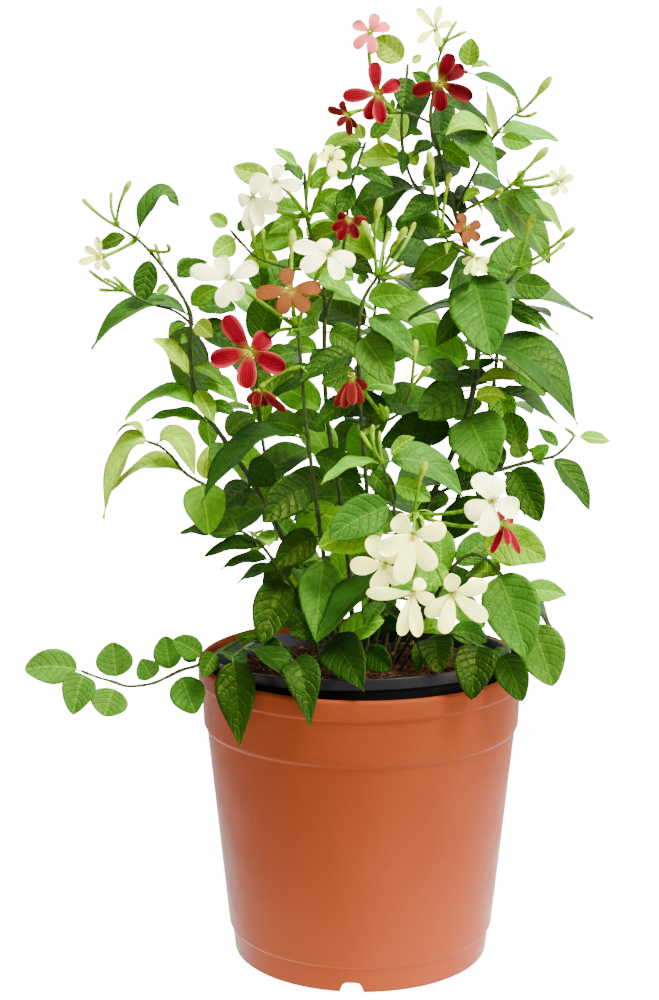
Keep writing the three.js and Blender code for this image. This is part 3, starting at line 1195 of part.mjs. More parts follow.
// Whether a leaf or flower already stands before or behind a spot as seen
function isCovered([x, z]) {
  const spot = new THREE.Vector2(x, z);
  return taken.some((other) => {
    if (other.isStem || !other.window.containsPoint(spot)) return false;
    return other.seenPoints.some((place) => place.distanceTo(spot) < FILL_REACH);
  });
}

// A leaf with its middle on the spot, from a stem near it, that fills a gap between what is placed
function fillSpot(spot, draw) {
  const [x, z] = spot;
  const feet = [];
  STEMS.forEach(({ name, on }) => {
    const trace = traces.get(name);
    trace.forEach((point) => {
      const [footX, footZ] = asSeen(point);
      const distance = Math.hypot(footX - x, footZ - z);
      const isNear = distance > FILL_NEAREST && distance < FILL_FARTHEST && point.z > FILL_BOTTOM;
      const isFree = !on || point.distanceTo(trace[0]) > FORK_ROOM;
      if (isNear && isFree) feet.push({ name, point, footX, footZ });
    });
  });
  for (let trial = 0; trial < FILL_TRIES && feet.length; trial++) {
    const { name, point, footX, footZ } = feet[Math.floor(draw() * feet.length)];
    const past = LEAST_PAST + PAST_SWING * draw();
    const depth = point.y + (draw() - FORWARD_SHARE) * DEPTH_SWING;
    const tip = seen([x + (x - footX) * past, z + (z - footZ) * past, depth]);
    const leaf = makeLeaf(point, FILL_STALK, tip, FILL_ARCH);
    leaf.width = FILL_RATIO * leaf.length;
    const toEye = EYE.clone().sub(tip).normalize();
    leaf.face = new THREE.Vector3(draw() - 0.5, 0, UPWARD_SHARE).add(toEye).normalize();
    leaf.isFurther = true;
    const node = nodeOf.get(name);
    if (insideOutline(asSeen(tip)) && leafFits(node, leaf) && !hidesSeen(leaf.samples)) {
      finishLeaf(node, leaf);
      return;
    }
  }
}

function fillGaps(draw) {
  for (let z = FILL_BOTTOM; z < FILL_TOP; z += FILL_STEP) {
    for (let x = -FILL_SIDE; x <= FILL_SIDE; x += FILL_STEP) {
      const spot = [x + (draw() - 0.5) * FILL_STEP, z + (draw() - 0.5) * FILL_STEP];
      if (insideOutline(spot) && !isCovered(spot)) fillSpot(spot, draw);
    }
  }
}

function lengthOf(trace) {
  return trace.slice(1).reduce((sum, place, i) => sum + place.distanceTo(trace[i]), 0);
}

STEMS.forEach(placeStem);
SPRAYS.forEach(placeStem);
FLOWERS.forEach(placeFlower);
Object.entries(BUDS).forEach(([node, rows]) => rows.forEach((row) => placeBud(node, row)));
STEMS.forEach((stem) => stem.leaves.forEach((row) => placeSeenLeaf(stem, row)));
const draw = seededDraw(LEAF_SEED);
fillGaps(draw);
STEMS.forEach((stem) => placeFurtherLeaves(stem, draw));

function turnedSolid(profile, sides) {
  const points = profile.map(([radius, height]) => new THREE.Vector2(radius, height));
  const turned = new THREE.LatheGeometry(points, sides).rotateX(Math.PI / 2);
  return solidFrom(turned);
}

// The pot with a ring of holes through its floor
function drained(pot, { ring, radius }, floorBottom, floorTop) {
  const height = floorTop - floorBottom + 2 * DRAIN_PAST;
  const turns = Array.from({ length: DRAIN_COUNT }, (_, i) => (2 * Math.PI * (i + 0.5)) / DRAIN_COUNT);
  return turns.reduce((rest, turn) => {
    const hole = new THREE.CylinderGeometry(radius, radius, height, DRAIN_SIDES);
    hole.rotateX(Math.PI / 2);
    hole.translate(ring * Math.cos(turn), ring * Math.sin(turn), (floorTop + floorBottom) / 2);
    return rest.subtract(solidFrom(hole));
  }, pot);
}

// A notch in the skirt: a flat-topped arch cut in from outside
function notchAt(index) {
  const { bottom, top, height, count, turn, reach, past } = NOTCH;
  const shape = new THREE.Shape([
    new THREE.Vector2(-bottom / 2, -past),
    new THREE.Vector2(bottom / 2, -past),
    new THREE.Vector2(top / 2, height),
    new THREE.Vector2(-top / 2, height),
  ]);
  const cutter = new THREE.ExtrudeGeometry(shape, { depth: reach + past, bevelEnabled: false });
  cutter.rotateX(Math.PI / 2);
  cutter.translate(0, NOTCH.reach - BASE_RADIUS, 0);
  cutter.rotateZ(((turn + (360 * index) / count) * Math.PI) / 180);
  return solidFrom(cutter);
}

function outerPot() {
  let pot = turnedSolid(
    [
      [0, 0], [13, 0], [14, FLOOR_UNDERSIDE], [77.2, FLOOR_UNDERSIDE], [77.9, 0], [BASE_RADIUS, 0],
      [82.4, SKIRT_HEIGHT], [84.1, SKIRT_HEIGHT + 1.5], [97.5, COLLAR_HEIGHT - 0.5],
      [99.3, COLLAR_HEIGHT + 1.5], [LIP_RADIUS, LIP_HEIGHT], [102.5, LIP_HEIGHT + 1.3],
      [RIM_RADIUS, POT_HEIGHT - 1.4], [101.4, POT_HEIGHT], [99.4, POT_HEIGHT], [81.3, FLOOR_TOP],
      [0, FLOOR_TOP],
    ],
    POT_SIDES,
  );
  for (let i = 0; i < NOTCH.count; i++) pot = pot.subtract(notchAt(i));
  return drained(pot, OUTER_DRAIN, FLOOR_UNDERSIDE, FLOOR_TOP);
}

const innerLean = Math.atan(Math.hypot(RISE_TO_FRONT, RISE_TO_RIGHT));
const INNER_HEIGHT =
  (INNER_RIM_CENTRE - FLOOR_TOP - GAP - INNER_BASE_RADIUS * Math.sin(innerLean)) / Math.cos(innerLean);

// What is made upright with its base at the origin is leaned as the nursery pot stands.
function leaned(solid) {
  const turn = new THREE.Quaternion().setFromUnitVectors(new THREE.Vector3(0, 0, 1), innerAxis);
  const base = innerRim.clone().addScaledVector(innerAxis, -INNER_HEIGHT);
  const matrix = new THREE.Matrix4().compose(base, turn, new THREE.Vector3(1, 1, 1));
  return solidFrom(geometryOf(solid).applyMatrix4(matrix));
}

function nurseryPot() {
  const lip = INNER_HEIGHT - INNER_LIP;
  const pot = turnedSolid(
    [
      [0, 0], [INNER_BASE_RADIUS, 0], [91.2, lip], [93.6, lip + 1], [INNER_RIM_RADIUS, INNER_HEIGHT],
      [91.6, INNER_HEIGHT], [INNER_MOUTH_RADIUS, lip], [INNER_BASE_RADIUS - INNER_WALL, INNER_FLOOR],
      [0, INNER_FLOOR],
    ],
    INNER_SIDES,
  );
  return leaned(drained(pot, INNER_DRAIN, 0, INNER_FLOOR));
}

function soilBody() {
  const lip = INNER_HEIGHT - INNER_LIP;
  const top = INNER_HEIGHT - SOIL_BELOW_RIM;
  const base = INNER_BASE_RADIUS - INNER_WALL;
  const bottom = INNER_FLOOR + GAP;
  const slope = (INNER_MOUTH_RADIUS - base) / (lip - INNER_FLOOR);
  const edge = base + slope * (top - INNER_FLOOR) - 2 * GAP;
  const rings = [0.82, 0.5].map((share) => [edge * share, top + SOIL_DOME * (1 - share * share)]);
  const profile = [[0, bottom], [base - 2 * GAP, bottom], [edge, top], ...rings, [0, top + SOIL_DOME]];
  const points = profile.map(([radius, height]) => new THREE.Vector2(radius, height));
  const turned = new THREE.LatheGeometry(points, INNER_SIDES).rotateX(Math.PI / 2);
  const position = turned.attributes.position;
  for (let i = 0; i < position.count; i++) {
    const [x, y, z] = [position.getX(i), position.getY(i), position.getZ(i)];
    const lump = Math.sin(0.23 * x + 1) * Math.cos(0.19 * y) + 0.6 * Math.sin(0.41 * y - 0.3 * x);
    if (z > top + 0.1) position.setZ(i, z + SOIL_LUMP * lump);
  }
  let soil = leaned(solidFrom(turned));
  stalks.forEach((stalk, node) => {
    if (!hostOf.get(node)) soil = soil.subtract(roomFor(stalk));
  });
  return soil;
}

// The body of a node, less crumbs that the room for its host cuts off
function plantBody(name) {
  let body = joined(solidsOf.get(name));
  const host = hostOf.get(name);
  if (host) body = body.subtract(roomFor(stalks.get(host)));
  return body.decompose().sort((a, b) => b.volume() - a.volume())[0];
}

const COLOURS = {
  outer_pot: [0xb85a2d, 0.42],
  nursery_pot: [0x15161a, 0.5],
  soil: [0x40261a, 0.95],
  stem: [0x3f7a1e, 0.5],
  spray: [0x9bbf3f, 0.5],
  red: [0xc01030, 0.55],
  dark_red: [0x8f0a22, 0.55],
  pink: [0xe58fa6, 0.55],
  fading: [0xc9b487, 0.65],
  cream: [0xf1ead2, 0.6],
  white: [0xf6f4ee, 0.6],
  peach: [0xf2cdb4, 0.6],
};

const plant = new THREE.Group();

function add(name, solid, look) {
  const [color, roughness] = COLOURS[look];
  const geometry = geometryOf(solid);
  geometry.computeVertexNormals();
  const material = new THREE.MeshStandardMaterial({ color, roughness, metalness: 0, flatShading: true });
  const mesh = new THREE.Mesh(geometry, material);
  mesh.name = name;
  plant.add(mesh);
}

add("outer_pot", outerPot(), "outer_pot");
add("nursery_pot", nurseryPot(), "nursery_pot");
add("soil", soilBody(), "soil");
STEMS.filter(({ node }) => !node).forEach(({ name }) => add(name, plantBody(name), "stem"));
SPRAYS.forEach(({ name }) => add(name, plantBody(name), "spray"));
FLOWERS.forEach(({ name, tone }) => add(name, plantBody(name), tone));

export default plant;
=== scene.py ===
import math
from dataclasses import dataclass, field

import bpy
import numpy as np
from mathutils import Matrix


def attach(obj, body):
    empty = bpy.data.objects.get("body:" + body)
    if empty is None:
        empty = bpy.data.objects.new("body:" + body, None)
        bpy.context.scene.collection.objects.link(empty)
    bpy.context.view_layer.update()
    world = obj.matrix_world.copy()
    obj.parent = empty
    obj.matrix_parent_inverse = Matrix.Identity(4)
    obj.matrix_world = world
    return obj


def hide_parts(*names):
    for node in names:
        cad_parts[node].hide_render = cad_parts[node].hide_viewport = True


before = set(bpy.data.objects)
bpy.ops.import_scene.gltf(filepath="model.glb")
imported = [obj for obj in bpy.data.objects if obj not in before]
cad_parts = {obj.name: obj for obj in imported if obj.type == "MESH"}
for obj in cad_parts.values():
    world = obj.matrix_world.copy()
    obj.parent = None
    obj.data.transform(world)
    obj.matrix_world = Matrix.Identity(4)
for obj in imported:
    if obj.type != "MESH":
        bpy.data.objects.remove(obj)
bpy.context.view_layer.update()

# Sizes are in millimetres up to the meshes, which are in metres. The pot stands on z = 0 with its axis on
# the z axis, and its front is towards -y.
MM = 0.001
RIM_RADIUS = 102.7
POT_HEIGHT = 190.0
BASE_RADIUS = 80.6
SKIRT_RADIUS = 84.0
LIP_RADIUS = 100.6
SKIRT_HEIGHT = 16.0
COLLAR_HEIGHT = 148.0
LIP_HEIGHT = 177.0
FLOOR_UNDERSIDE = 11.0
FLOOR_TOP = 15.0
NOTCH_COUNT = 3
NOTCH_TURN = -3.6
NOTCH_BOTTOM = 18.0
NOTCH_TOP = 10.0
NOTCH_HEIGHT = 6.5
NOTCH_REACH = 12.0
NOTCH_PAST = 4.0
OUTER_DRAIN = (46.0, 6.0)
INNER_DRAIN = (40.0, 5.0)
DRAIN_COUNT = 4
DRAIN_SIDES = 24
DRAIN_PAST = 1.5

# The black nursery pot leans in the outer pot, with its front and right higher than its back.
INNER_RIM_RADIUS = 94.0
INNER_BASE_RADIUS = 62.0
INNER_MOUTH_RADIUS = 89.6
INNER_WALL = 1.6
INNER_FLOOR = 2.0
INNER_LIP = 8.0
INNER_RIM_CENTRE = 193.2
RISE_TO_FRONT = 0.0824
RISE_TO_RIGHT = 0.025
SOIL_BELOW_RIM = 10.0
SOIL_DOME = 5.0
SOIL_LUMP = 1.1
GAP = 0.3

# Stem, leaf and petal build
ROOT_DEPTH = 14.0
LONG_SPAN = 28.0
TRACE_STEPS = 8
PETIOLE_WIDTH = 1.6
BLADE_RATIO = 0.5
ROUND_RATIO = 0.54
FOLD = 0.28
HUB_RADIUS = 2.1
TUBE_MOUTH = 1.4
MOUTH_GAP = 0.35
BUD_RADIUS = 2.7
BUD_GIRTH = 0.26
PETAL_ARCH = 0.3
PETAL_FOOT = 0.8
PETAL_STATIONS = [(0.0, 0.0), (0.62, 1.0), (1.0, 0.42)]
FACE_ALONG = 0.6

# A leaf blade's swell as a power of the way along it, how far its tip is cut in, and its fullness
ROUND_BLADE = (0.85, 0.15, 0.6)
NARROW_BLADE = (0.8, 0.45, 0.8)
TIP_POWER = 6
MOST_PETIOLE = 0.5
OUTWARD_PULL = 0.4
SHORTEST_STALK = 4
LONGEST_STALK = 24

# Pieces stay clear of what they don't grow from, measured between points spread over both.
SAMPLE_STEP = 2.2
CLEAR = 2.9
ROOT_ZONE = 11.0
BLADE_REACH = 0.4
OVER_SURFACE = 2.5
OUTSIDE_WALL = 2.0
INSIDE_WALL = 6.0
OVER_RIM_BAND = 3.0
PUSHES = [0, -4, 4, -9, 9, -15, 15, -22, 22, -30, 30, 40]
LIFTS = [0, 4, -4, 9]
SHIFTS = [0, -1, 1, -3, 3]
LIFT_EFFORT = 1.5
SHIFT_EFFORT = 2
CROWD_ROOM = 2000

# Further leaves fill the plant behind the leaves that are placed as seen.
LEAF_SEED = 41
FURTHER_SPACING = 52.0
BACK_SPACING = 31.0
FURTHER_TRIES = 10
FURTHER_RATIO = 0.58
FURTHER_STALK = 7
FURTHER_ARCH = 0.12
HEADING_SWING = 1.6
LEAST_REACH = 0.75
REACH_SWING = 0.4
HIGHEST_RISE = 0.28
RISE_SWING = 0.75
OUTWARD_SHARE = 0.92
OUTWARD_LEAN = 0.69
FURTHER_OVERLAP = 0.12

# Where gaps as seen are filled: a grid of spots, and how far from its spot a leaf's foot may look
FILL_BOTTOM = 206
FILL_TOP = 552
FILL_SIDE = 112
FILL_STEP = 7
FILL_REACH = 2
FILL_NEAREST = 11
FILL_FARTHEST = 27
FILL_TRIES = 50
FORK_ROOM = 6
FILL_RATIO = 0.62
FILL_STALK = 6
FILL_ARCH = 3
LEAST_PAST = 0.75
PAST_SWING = 0.35
FORWARD_SHARE = 0.35
DEPTH_SWING = 50
UPWARD_SHARE = 0.69

# The rows below give places as they look from a point in front of the plant, level with its upper part:
# x and z on the upright plane through the pot's axis, and y the depth behind (+) or before (-) that plane.
EYE = np.array([0.0, -1280.0, 530.0])

# A stem's path as points [x, z, y], the stem it forks from, its radii at the root and the end, and the
# length of its further leaves. A leaf is [base x, base z, tip x, tip z, depth of the tip past the root,
# breadth as seen, arch, tone]; the leaf's stalk runs from the stem to its base.
# A leaf's tone picks its colour from the leaf colours further down, which hold painted light and shade as
# well as leaf colour: a leaf that lies in shade is given a darker tone, a lit one a lighter tone.
STEMS = [
    {
        "name": "stem_tall", "on": "", "radii": [2.05, 0.84], "size": 46,
        "points": [
            [13, 186, 8], [21, 232, 10], [39, 282, 8], [57, 322, 4], [67, 352, 0], [71, 384, 0],
            [69, 425, 4], [62, 450, 6], [56, 468, 5], [51, 485, 5], [46, 504, 4], [41, 521, 4],
            [42, 535, 6], [46, 547, 8], [55, 552, 8], [63, 551, 6],
        ],
        "leaves": [
            [65, 428, 79, 381, -44, 38, 2, 1], [42, 540, 29, 551, -10, 9, 1, 1],
            [49, 532, 78, 518, 10, 8, 4, 0], [63, 553, 65, 571, -4, 13, 0, 3],
            [65, 553, 77, 554, 6, 4, 3, 3], [65, 546, 93, 536, -8, 6, 6, 1],
            [44, 507, 30, 501, -14, 8, 3, 0], [47, 506, 65, 494, -14, 13, 4, 2],
            [46, 475, 23, 462, -20, 13, 3, 0], [45, 483, 35, 485, -16, 6, 0, 1],
            [53, 474, 73, 468, 16, 8, 2, 0], [51, 511, 83, 486, -24, 16, 6, 1],
            [67, 412, 53, 421, -40, 18, 14, 0], [51, 425, 30, 421, -16, 10, 3, 0],
            [67, 434, 87, 430, -18, 8, 2, 1], [55, 426, 57, 415, -50, 11, 2, 5],
            [59, 446, 29, 426, -30, 18, 3, 5], [72, 449, 86, 453, -12, 4, -1, 0],
            [76, 378, 133, 338, -30, 24, 20, 0], [69, 343, 81, 308, -52, 36, 2, 1],
            [73, 364, 96, 366, -14, 8, 3, 4], [89, 358, 121, 338, 4, 9, 8, 0],
            [69, 349, 89, 354, -8, 11, 4, 4], [63, 412, 45, 386, -12, 16, 2, 0],
            [65, 400, 72, 372, -22, 20, 2, 1], [59, 380, 35, 368, -24, 14, 3, 0],
            [61, 362, 35, 342, -20, 26, 3, 0], [49, 300, 21, 298, -40, 16, 4, 0],
        ],
    },
    {
        "name": "stem_centre", "on": "", "radii": [1.82, 0.76], "size": 42,
        "points": [
            [-5, 186, -6], [-7, 240, -12], [-13, 290, -16], [-21, 340, -18], [-23, 380, -16],
            [-23, 418, -12], [-27, 440, -12], [-32, 458, -12], [-34, 475, -13], [-35, 492, -14],
        ],
        "leaves": [
            [-40, 494, -54, 506, -4, 6, 1, 3], [-34, 481, -51, 488, 6, 6, 9, 1],
            [-57, 488, -78, 495, 4, 14, 2, 4], [-68, 484, -76, 460, 10, 7, 0, 0],
            [-39, 465, -57, 455, -10, 12, 2, 2], [-25, 414, 9, 407, 14, 6, 3, 2],
            [-23, 398, -47, 392, -12, 12, 3, 5], [-21, 396, 3, 378, -14, 18, 4, 5],
            [-21, 374, -57, 352, -18, 13, 4, 0], [-19, 366, -31, 384, -16, 14, 3, 1],
            [-17, 346, 21, 345, -16, 17, 4, 0], [-13, 300, -53, 296, -16, 20, 4, 0],
            [-17, 330, -45, 342, -12, 12, 4, 0], [-34, 478, -15, 493, -8, 10, 3, 2],
            [-33, 463, -12, 481, 6, 12, 3, 3], [-38, 468, -61, 474, -10, 10, 3, 2],
        ],
    },
    {
        "name": "stem_left", "on": "", "radii": [1.82, 0.7], "size": 42,
        "points": [
            [-15, 186, 0], [-37, 240, -6], [-61, 290, -10], [-85, 328, -10], [-98, 347, -8],
            [-104, 363, -6], [-106, 385, -2], [-105, 405, 0], [-113, 422, 2], [-125, 439, 2],
            [-135, 450, 0], [-142, 455, -2], [-150, 460, -4],
        ],
        "leaves": [
            [-137, 452, -111, 471, 8, 9, 16, 1], [-130, 442, -136, 414, -10, 15, -2, 0],
            [-105, 404, -166, 384, -12, 10, 15, 1], [-143, 450, -162, 445, 8, 9, 1, 5],
            [-113, 429, -94, 438, -6, 11, 2, 5], [-108, 410, -87, 422, -14, 12, 2, 2],
            [-113, 426, -126, 418, -8, 6, 1, 2], [-111, 430, -105, 441, 10, 7, 1, 5],
            [-105, 401, -119, 392, -16, 6, 3, 1], [-101, 413, -92, 392, -18, 12, 1, 4],
            [-102, 367, -128, 391, -12, 10, 3, 4], [-85, 390, -111, 388, -10, 6, 3, 5],
            [-99, 363, -91, 338, -16, 12, 2, 3], [-98, 347, -146, 340, -4, 8, 12, 2],
            [-96, 334, -133, 340, 4, 7, 4, 2], [-93, 358, -76, 351, -14, 12, 3, 2],
            [-89, 334, -65, 342, -18, 16, 4, 5], [-83, 330, -89, 306, -22, 16, 2, 1],
            [-71, 312, -53, 300, -16, 20, 3, 0], [-67, 300, -85, 286, 12, 18, 3, 0],
            [-101, 375, -85, 362, -14, 9, 3, 5],
        ],
    },
    {
        "name": "stem_young", "on": "stem_left", "radii": [1.06, 0.7], "size": 30,
        "points": [
            [-63, 293, -11], [-87, 296, -24], [-108, 306, -30], [-117, 317, -30], [-125, 324, -30],
            [-133, 327, -30],
        ],
        "leaves": [
            [-127, 326, -103, 304, -12, 14, 14, 4], [-134, 326, -161, 278, -8, 12, 16, 4],
            [-135, 328, -152, 331, 8, 3, -1, 4], [-109, 307, -155, 296, 6, 8, 10, 4],
            [-99, 304, -95, 268, -20, 26, 3, 2], [-97, 301, -95, 324, -8, 13, -2, 4],
        ],
    },
    {
        "name": "stem_bloom", "on": "", "radii": [1.6, 0.84], "size": 36,
        "points": [
            [-9, 184, -22], [-21, 240, -36], [-29, 295, -46], [-35, 345, -52], [-37, 372, -54],
            [-39, 395, -54],
        ],
        "leaves": [
            [-23, 330, -100, 287, -28, 13, 18, 0], [-21, 256, -29, 200, -34, 26, 4, 1],
            [-37, 383, -67, 371, -14, 13, 3, 1], [-37, 372, -55, 358, -16, 11, 3, 5],
            [-41, 394, -53, 398, -2, 8, 0, 3], [-33, 340, -63, 336, -18, 17, 5, 1],
            [-31, 318, 1, 300, -12, 16, 4, 0], [-29, 300, -61, 276, -26, 24, 5, 6],
            [-23, 268, -53, 248, -16, 20, 3, 0], [-27, 280, 7, 262, -6, 16, 4, 3],
        ],
    },
    {
        "name": "stem_crown", "on": "", "radii": [1.52, 0.76], "size": 34,
        "points": [
            [1, 184, -18], [7, 240, -28], [3, 300, -38], [-1, 350, -44], [-2, 385, -50], [0, 412, -52],
            [8, 427, -52], [10, 429, -53], [12, 431, -53],
        ],
        "leaves": [
            [4, 415, 33, 416, -16, 16, 3, 2], [-6, 412, -29, 425, -10, 8, 3, 2],
            [-3, 393, 18, 362, -26, 23, 4, 5], [7, 405, 32, 380, -10, 14, 4, 1],
            [-2, 422, -2, 430, -4, 6, 0, 1], [-3, 352, -29, 336, -12, 14, 4, 0],
            [3, 372, 41, 386, 8, 18, 5, 0], [-4, 387, -38, 364, -16, 14, 4, 0],
            [-3, 377, -25, 363, -10, 13, 3, 5],
        ],
    },
    {
        "name": "stem_front", "on": "", "radii": [1.44, 0.76], "size": 32,
        "points": [
            [5, 182, -32], [15, 225, -46], [22, 257, -58], [20, 287, -62], [16, 303, -62], [13, 315, -62],
        ],
        "leaves": [
            [11, 315, -25, 300, -14, 7, 5, 2], [19, 286, -20, 266, -16, 25, 3, 1],
            [15, 320, 33, 330, -8, 8, 2, 3], [15, 319, 63, 293, -12, 19, 10, 1],
            [29, 268, -27, 260, -8, 22, 4, 3], [11, 238, -28, 199, -30, 17, 4, 0],
            [19, 300, 43, 290, -6, 14, 3, 2], [19, 244, 45, 262, 10, 12, 3, 0],
        ],
    },
    {
        "name": "stem_right", "on": "stem_tall", "radii": [1.14, 0.7], "size": 32,
        "points": [
            [43, 290, 6], [65, 303, -4], [90, 311, -12], [100, 314, -12], [114, 317, -12],
            [120, 319, -12], [126, 324, -12], [132, 332, -12],
        ],
        "leaves": [
            [133, 334, 154, 328, 6, 8, 0, 3], [118, 316, 142, 284, -10, 14, 4, 0],
            [92, 311, 111, 277, -16, 23, 4, 0], [100, 314, 95, 329, -4, 12, 0, 5],
            [103, 314, 116, 325, -10, 9, 1, 2], [102, 312, 114, 313, 8, 4, 1, 1],
            [123, 323, 109, 336, 10, 7, 0, 1], [87, 309, 86, 326, 8, 7, 0, 1],
            [89, 307, 102, 280, 8, 5, 3, 0], [69, 303, 65, 322, 8, 14, 1, 2],
            [71, 304, 83, 288, 10, 16, 2, 0],
        ],
    },
    {
        "name": "stem_low_right", "on": "", "radii": [1.44, 0.7], "size": 34,
        "points": [
            [21, 184, -14], [43, 222, -40], [59, 250, -54], [73, 256, -60], [85, 246, -62],
            [97, 232, -62], [103, 216, -62],
        ],
        "leaves": [
            [71, 260, 115, 252, -8, 26, 8, 3], [97, 231, 129, 230, 6, 14, 2, 2],
            [79, 242, 104, 190, -24, 34, 5, 1], [101, 206, 121, 171, -12, 29, 5, 5],
            [100, 227, 126, 187, 10, 3, 7, 0], [59, 246, 43, 236, -8, 14, 2, 2],
            [55, 246, 83, 268, 14, 18, 2, 1],
        ],
    },
    {
        "name": "stem_bud_right", "on": "stem_tall", "radii": [0.99, 0.7], "size": 30,
        "points": [
            [70, 405, 2], [81, 418, -6], [91, 428, -10], [96, 436, -10],
        ],
        "leaves": [
            [92, 424, 115, 424, 2, 16, 2, 1], [83, 421, 141, 403, 10, 11, 10, 1],
            [91, 412, 120, 394, 10, 5, 5, 1], [87, 400, 110, 396, 14, 12, 3, 2],
        ],
    },
    {
        "name": "stem_upper_right", "on": "stem_tall", "radii": [0.99, 0.7], "size": 30,
        "points": [
            [56, 468, 5], [63, 482, 2], [69, 494, 0], [74, 505, -2], [79, 513, -4], [85, 520, -6],
        ],
        "leaves": [
            [74, 511, 50, 514, -8, 10, 4, 3], [81, 513, 103, 509, -8, 11, 3, 2],
            [80, 514, 74, 543, 8, 6, -8, 4], [83, 515, 118, 511, 10, 10, 5, 2],
            [69, 495, 87, 503, 14, 10, 3, 1],
        ],
    },
    {
        "name": "stem_right_top", "on": "stem_tall", "radii": [0.91, 0.7], "size": 28,
        "points": [
            [57, 466, 5], [67, 472, -2], [78, 477, -6], [87, 482, -8], [94, 487, -8],
        ],
        "leaves": [
            [78, 478, 61, 473, 10, 7, 2, 3], [79, 478, 114, 437, -14, 23, 6, 5],
            [91, 480, 115, 462, 8, 13, 4, 1], [89, 486, 98, 493, 2, 5, 0, 4],
            [107, 456, 121, 456, 8, 6, 2, 3],
        ],
    },
    {
        "name": "stem_top_shoot", "on": "stem_tall", "radii": [1.06, 0.7], "size": 30,
        "points": [
            [62, 452, 6], [49, 468, 10], [37, 479, 8], [30, 487, 6], [25, 502, 3], [23.5, 516, 0],
            [24, 531, -2], [26, 545, -2], [27, 556, -2],
        ],
        "leaves": [
            [28, 559, 7, 571, -8, 17, 1, 4], [28, 558, 35, 561, 6, 5, 0, 4],
            [27, 551, 24, 530, -10, 15, 1, 0], [19, 508, 37, 514, -6, 5, 2, 1],
            [28, 509, 24, 490, -10, 7, 0, 0], [21, 503, 33, 496, 6, 9, 2, 3],
            [36, 480, -7, 469, -16, 12, 5, 0],
        ],
    },
    {
        "name": "stem_middle", "on": "stem_centre", "radii": [0.99, 0.7], "size": 28,
        "points": [
            [-23, 402, -14], [-15, 430, -18], [-10, 455, -18], [-8, 478, -16], [-3, 496, -14],
            [2, 510, -14],
        ],
        "leaves": [
            [1, 510, -25, 502, -8, 8, 6, 3], [-7, 506, -5, 490, -14, 7, -3, 0],
            [3, 513, 19, 525, -4, 10, 1, 5], [-9, 490, -15, 466, -14, 12, -2, 0],
            [-3, 492, 19, 482, -8, 9, 3, 0], [-5, 476, 3, 462, -8, 10, 1, 0],
            [1, 512, -3, 521, 2, 7, 0, 4], [-9, 452, -23, 446, -10, 8, 2, 0],
            [-13, 438, 7, 430, 10, 10, 3, 6], [-13, 455, -27, 474, -6, 9, 2, 5],
            [-12, 460, -33, 451, 8, 16, 3, 3],
        ],
    },
    {
        "name": "stem_upper_left", "on": "stem_centre", "radii": [0.91, 0.7], "size": 28,
        "points": [
            [-26, 432, -12], [-43, 434, -20], [-63, 440, -26], [-73, 449, -26], [-80, 457, -26],
        ],
        "leaves": [
            [-78, 458, -93, 465, -4, 9, 2, 4], [-71, 452, -91, 441, -10, 14, 2, 3],
            [-77, 455, -69, 462, -6, 6, 1, 1], [-51, 438, -73, 438, 12, 12, 3, 3],
        ],
    },
    {
        "name": "stem_left_twig", "node": "stem_left", "on": "stem_left",
        "radii": [0.84, 0.7], "size": 24,
        "points": [
            [-105, 400, 0], [-115, 408, -10], [-129, 412, -16], [-141, 418, -16], [-148, 421, -16],
        ],
        "leaves": [],
    },
    {
        "name": "stem_low_left", "on": "", "radii": [1.37, 0.7], "size": 32,
        "points": [
            [-25, 184, -18], [-37, 225, -34], [-51, 246, -42], [-63, 262, -44], [-77, 272, -40],
        ],
        "leaves": [
            [-49, 240, -63, 198, -22, 25, 3, 6], [-71, 270, -113, 269, 6, 12, 7, 5],
            [-63, 262, -98, 254, 2, 9, 4, 0], [-55, 252, -88, 246, 6, 7, 3, 1],
            [-51, 247, -78, 237, 10, 7, 3, 1], [-53, 254, -31, 262, -10, 14, 3, 0],
            [-41, 236, -23, 214, -8, 18, 3, 0],
        ],
    },
    {
        "name": "stem_low_front", "on": "", "radii": [1.14, 0.7], "size": 26,
        "points": [
            [-5, 180, -46], [-13, 192, -56], [-24, 201, -62],
        ],
        "leaves": [
            [-22, 198, 2, 167, -38, 27, 6, 6], [4, 202, 19, 181, -20, 17, 6, 0],
            [-25, 200, -45, 205, -6, 12, 4, 6],
        ],
    },
    {
        "name": "stem_low_rim", "on": "", "radii": [1.14, 0.7], "size": 26,
        "points": [
            [25, 182, -34], [41, 200, -60], [57, 205, -72], [73, 198, -78], [89, 192, -72],
        ],
        "leaves": [
            [44, 206, 49, 179, -18, 22, 6, 6], [37, 200, 35, 178, -14, 10, 5, 0],
            [53, 205, 79, 200, 8, 14, 4, 1], [73, 196, 70, 162, -22, 25, 6, 6],
            [90, 192, 102, 161, -8, 20, 4, 0], [79, 195, 91, 184, 8, 12, 3, 1],
        ],
    },
    {
        "name": "stem_trail", "on": "", "radii": [1.22, 0.7], "size": 22,
        "points": [
            [-39, 184, -18], [-61, 201, -30], [-79, 199, -38], [-93, 190, -42], [-103, 184, -42],
            [-113, 181, -41], [-121, 177, -40], [-132, 172, -40], [-147, 170, -40], [-157, 173, -41],
            [-167, 176, -42], [-177, 180, -42],
        ],
        "leaves": [
            [-98, 187, -119, 200, -6, 15, 2, 1], [-121, 179, -124, 203, 8, 18, 0, 1],
            [-130, 173, -139, 188, -8, 15, 0, 1], [-153, 175, -157, 199, 5, 23, 0, 5],
            [-155, 174, -163, 150, -6, 24, 0, 5], [-178, 181, -213, 180, -4, 22, 3, 5],
            [-175, 179, -183, 151, -8, 21, 0, 1], [-114, 178, -105, 152, -10, 22, 0, 1],
            [-100, 182, -113, 190, 10, 7, 1, 0], [-85, 190, -73, 183, -30, 10, 2, 0],
            [-87, 188, -100, 176, -14, 12, 3, 0], [-83, 196, -65, 204, 6, 7, 1, 5],
        ],
    },
    {
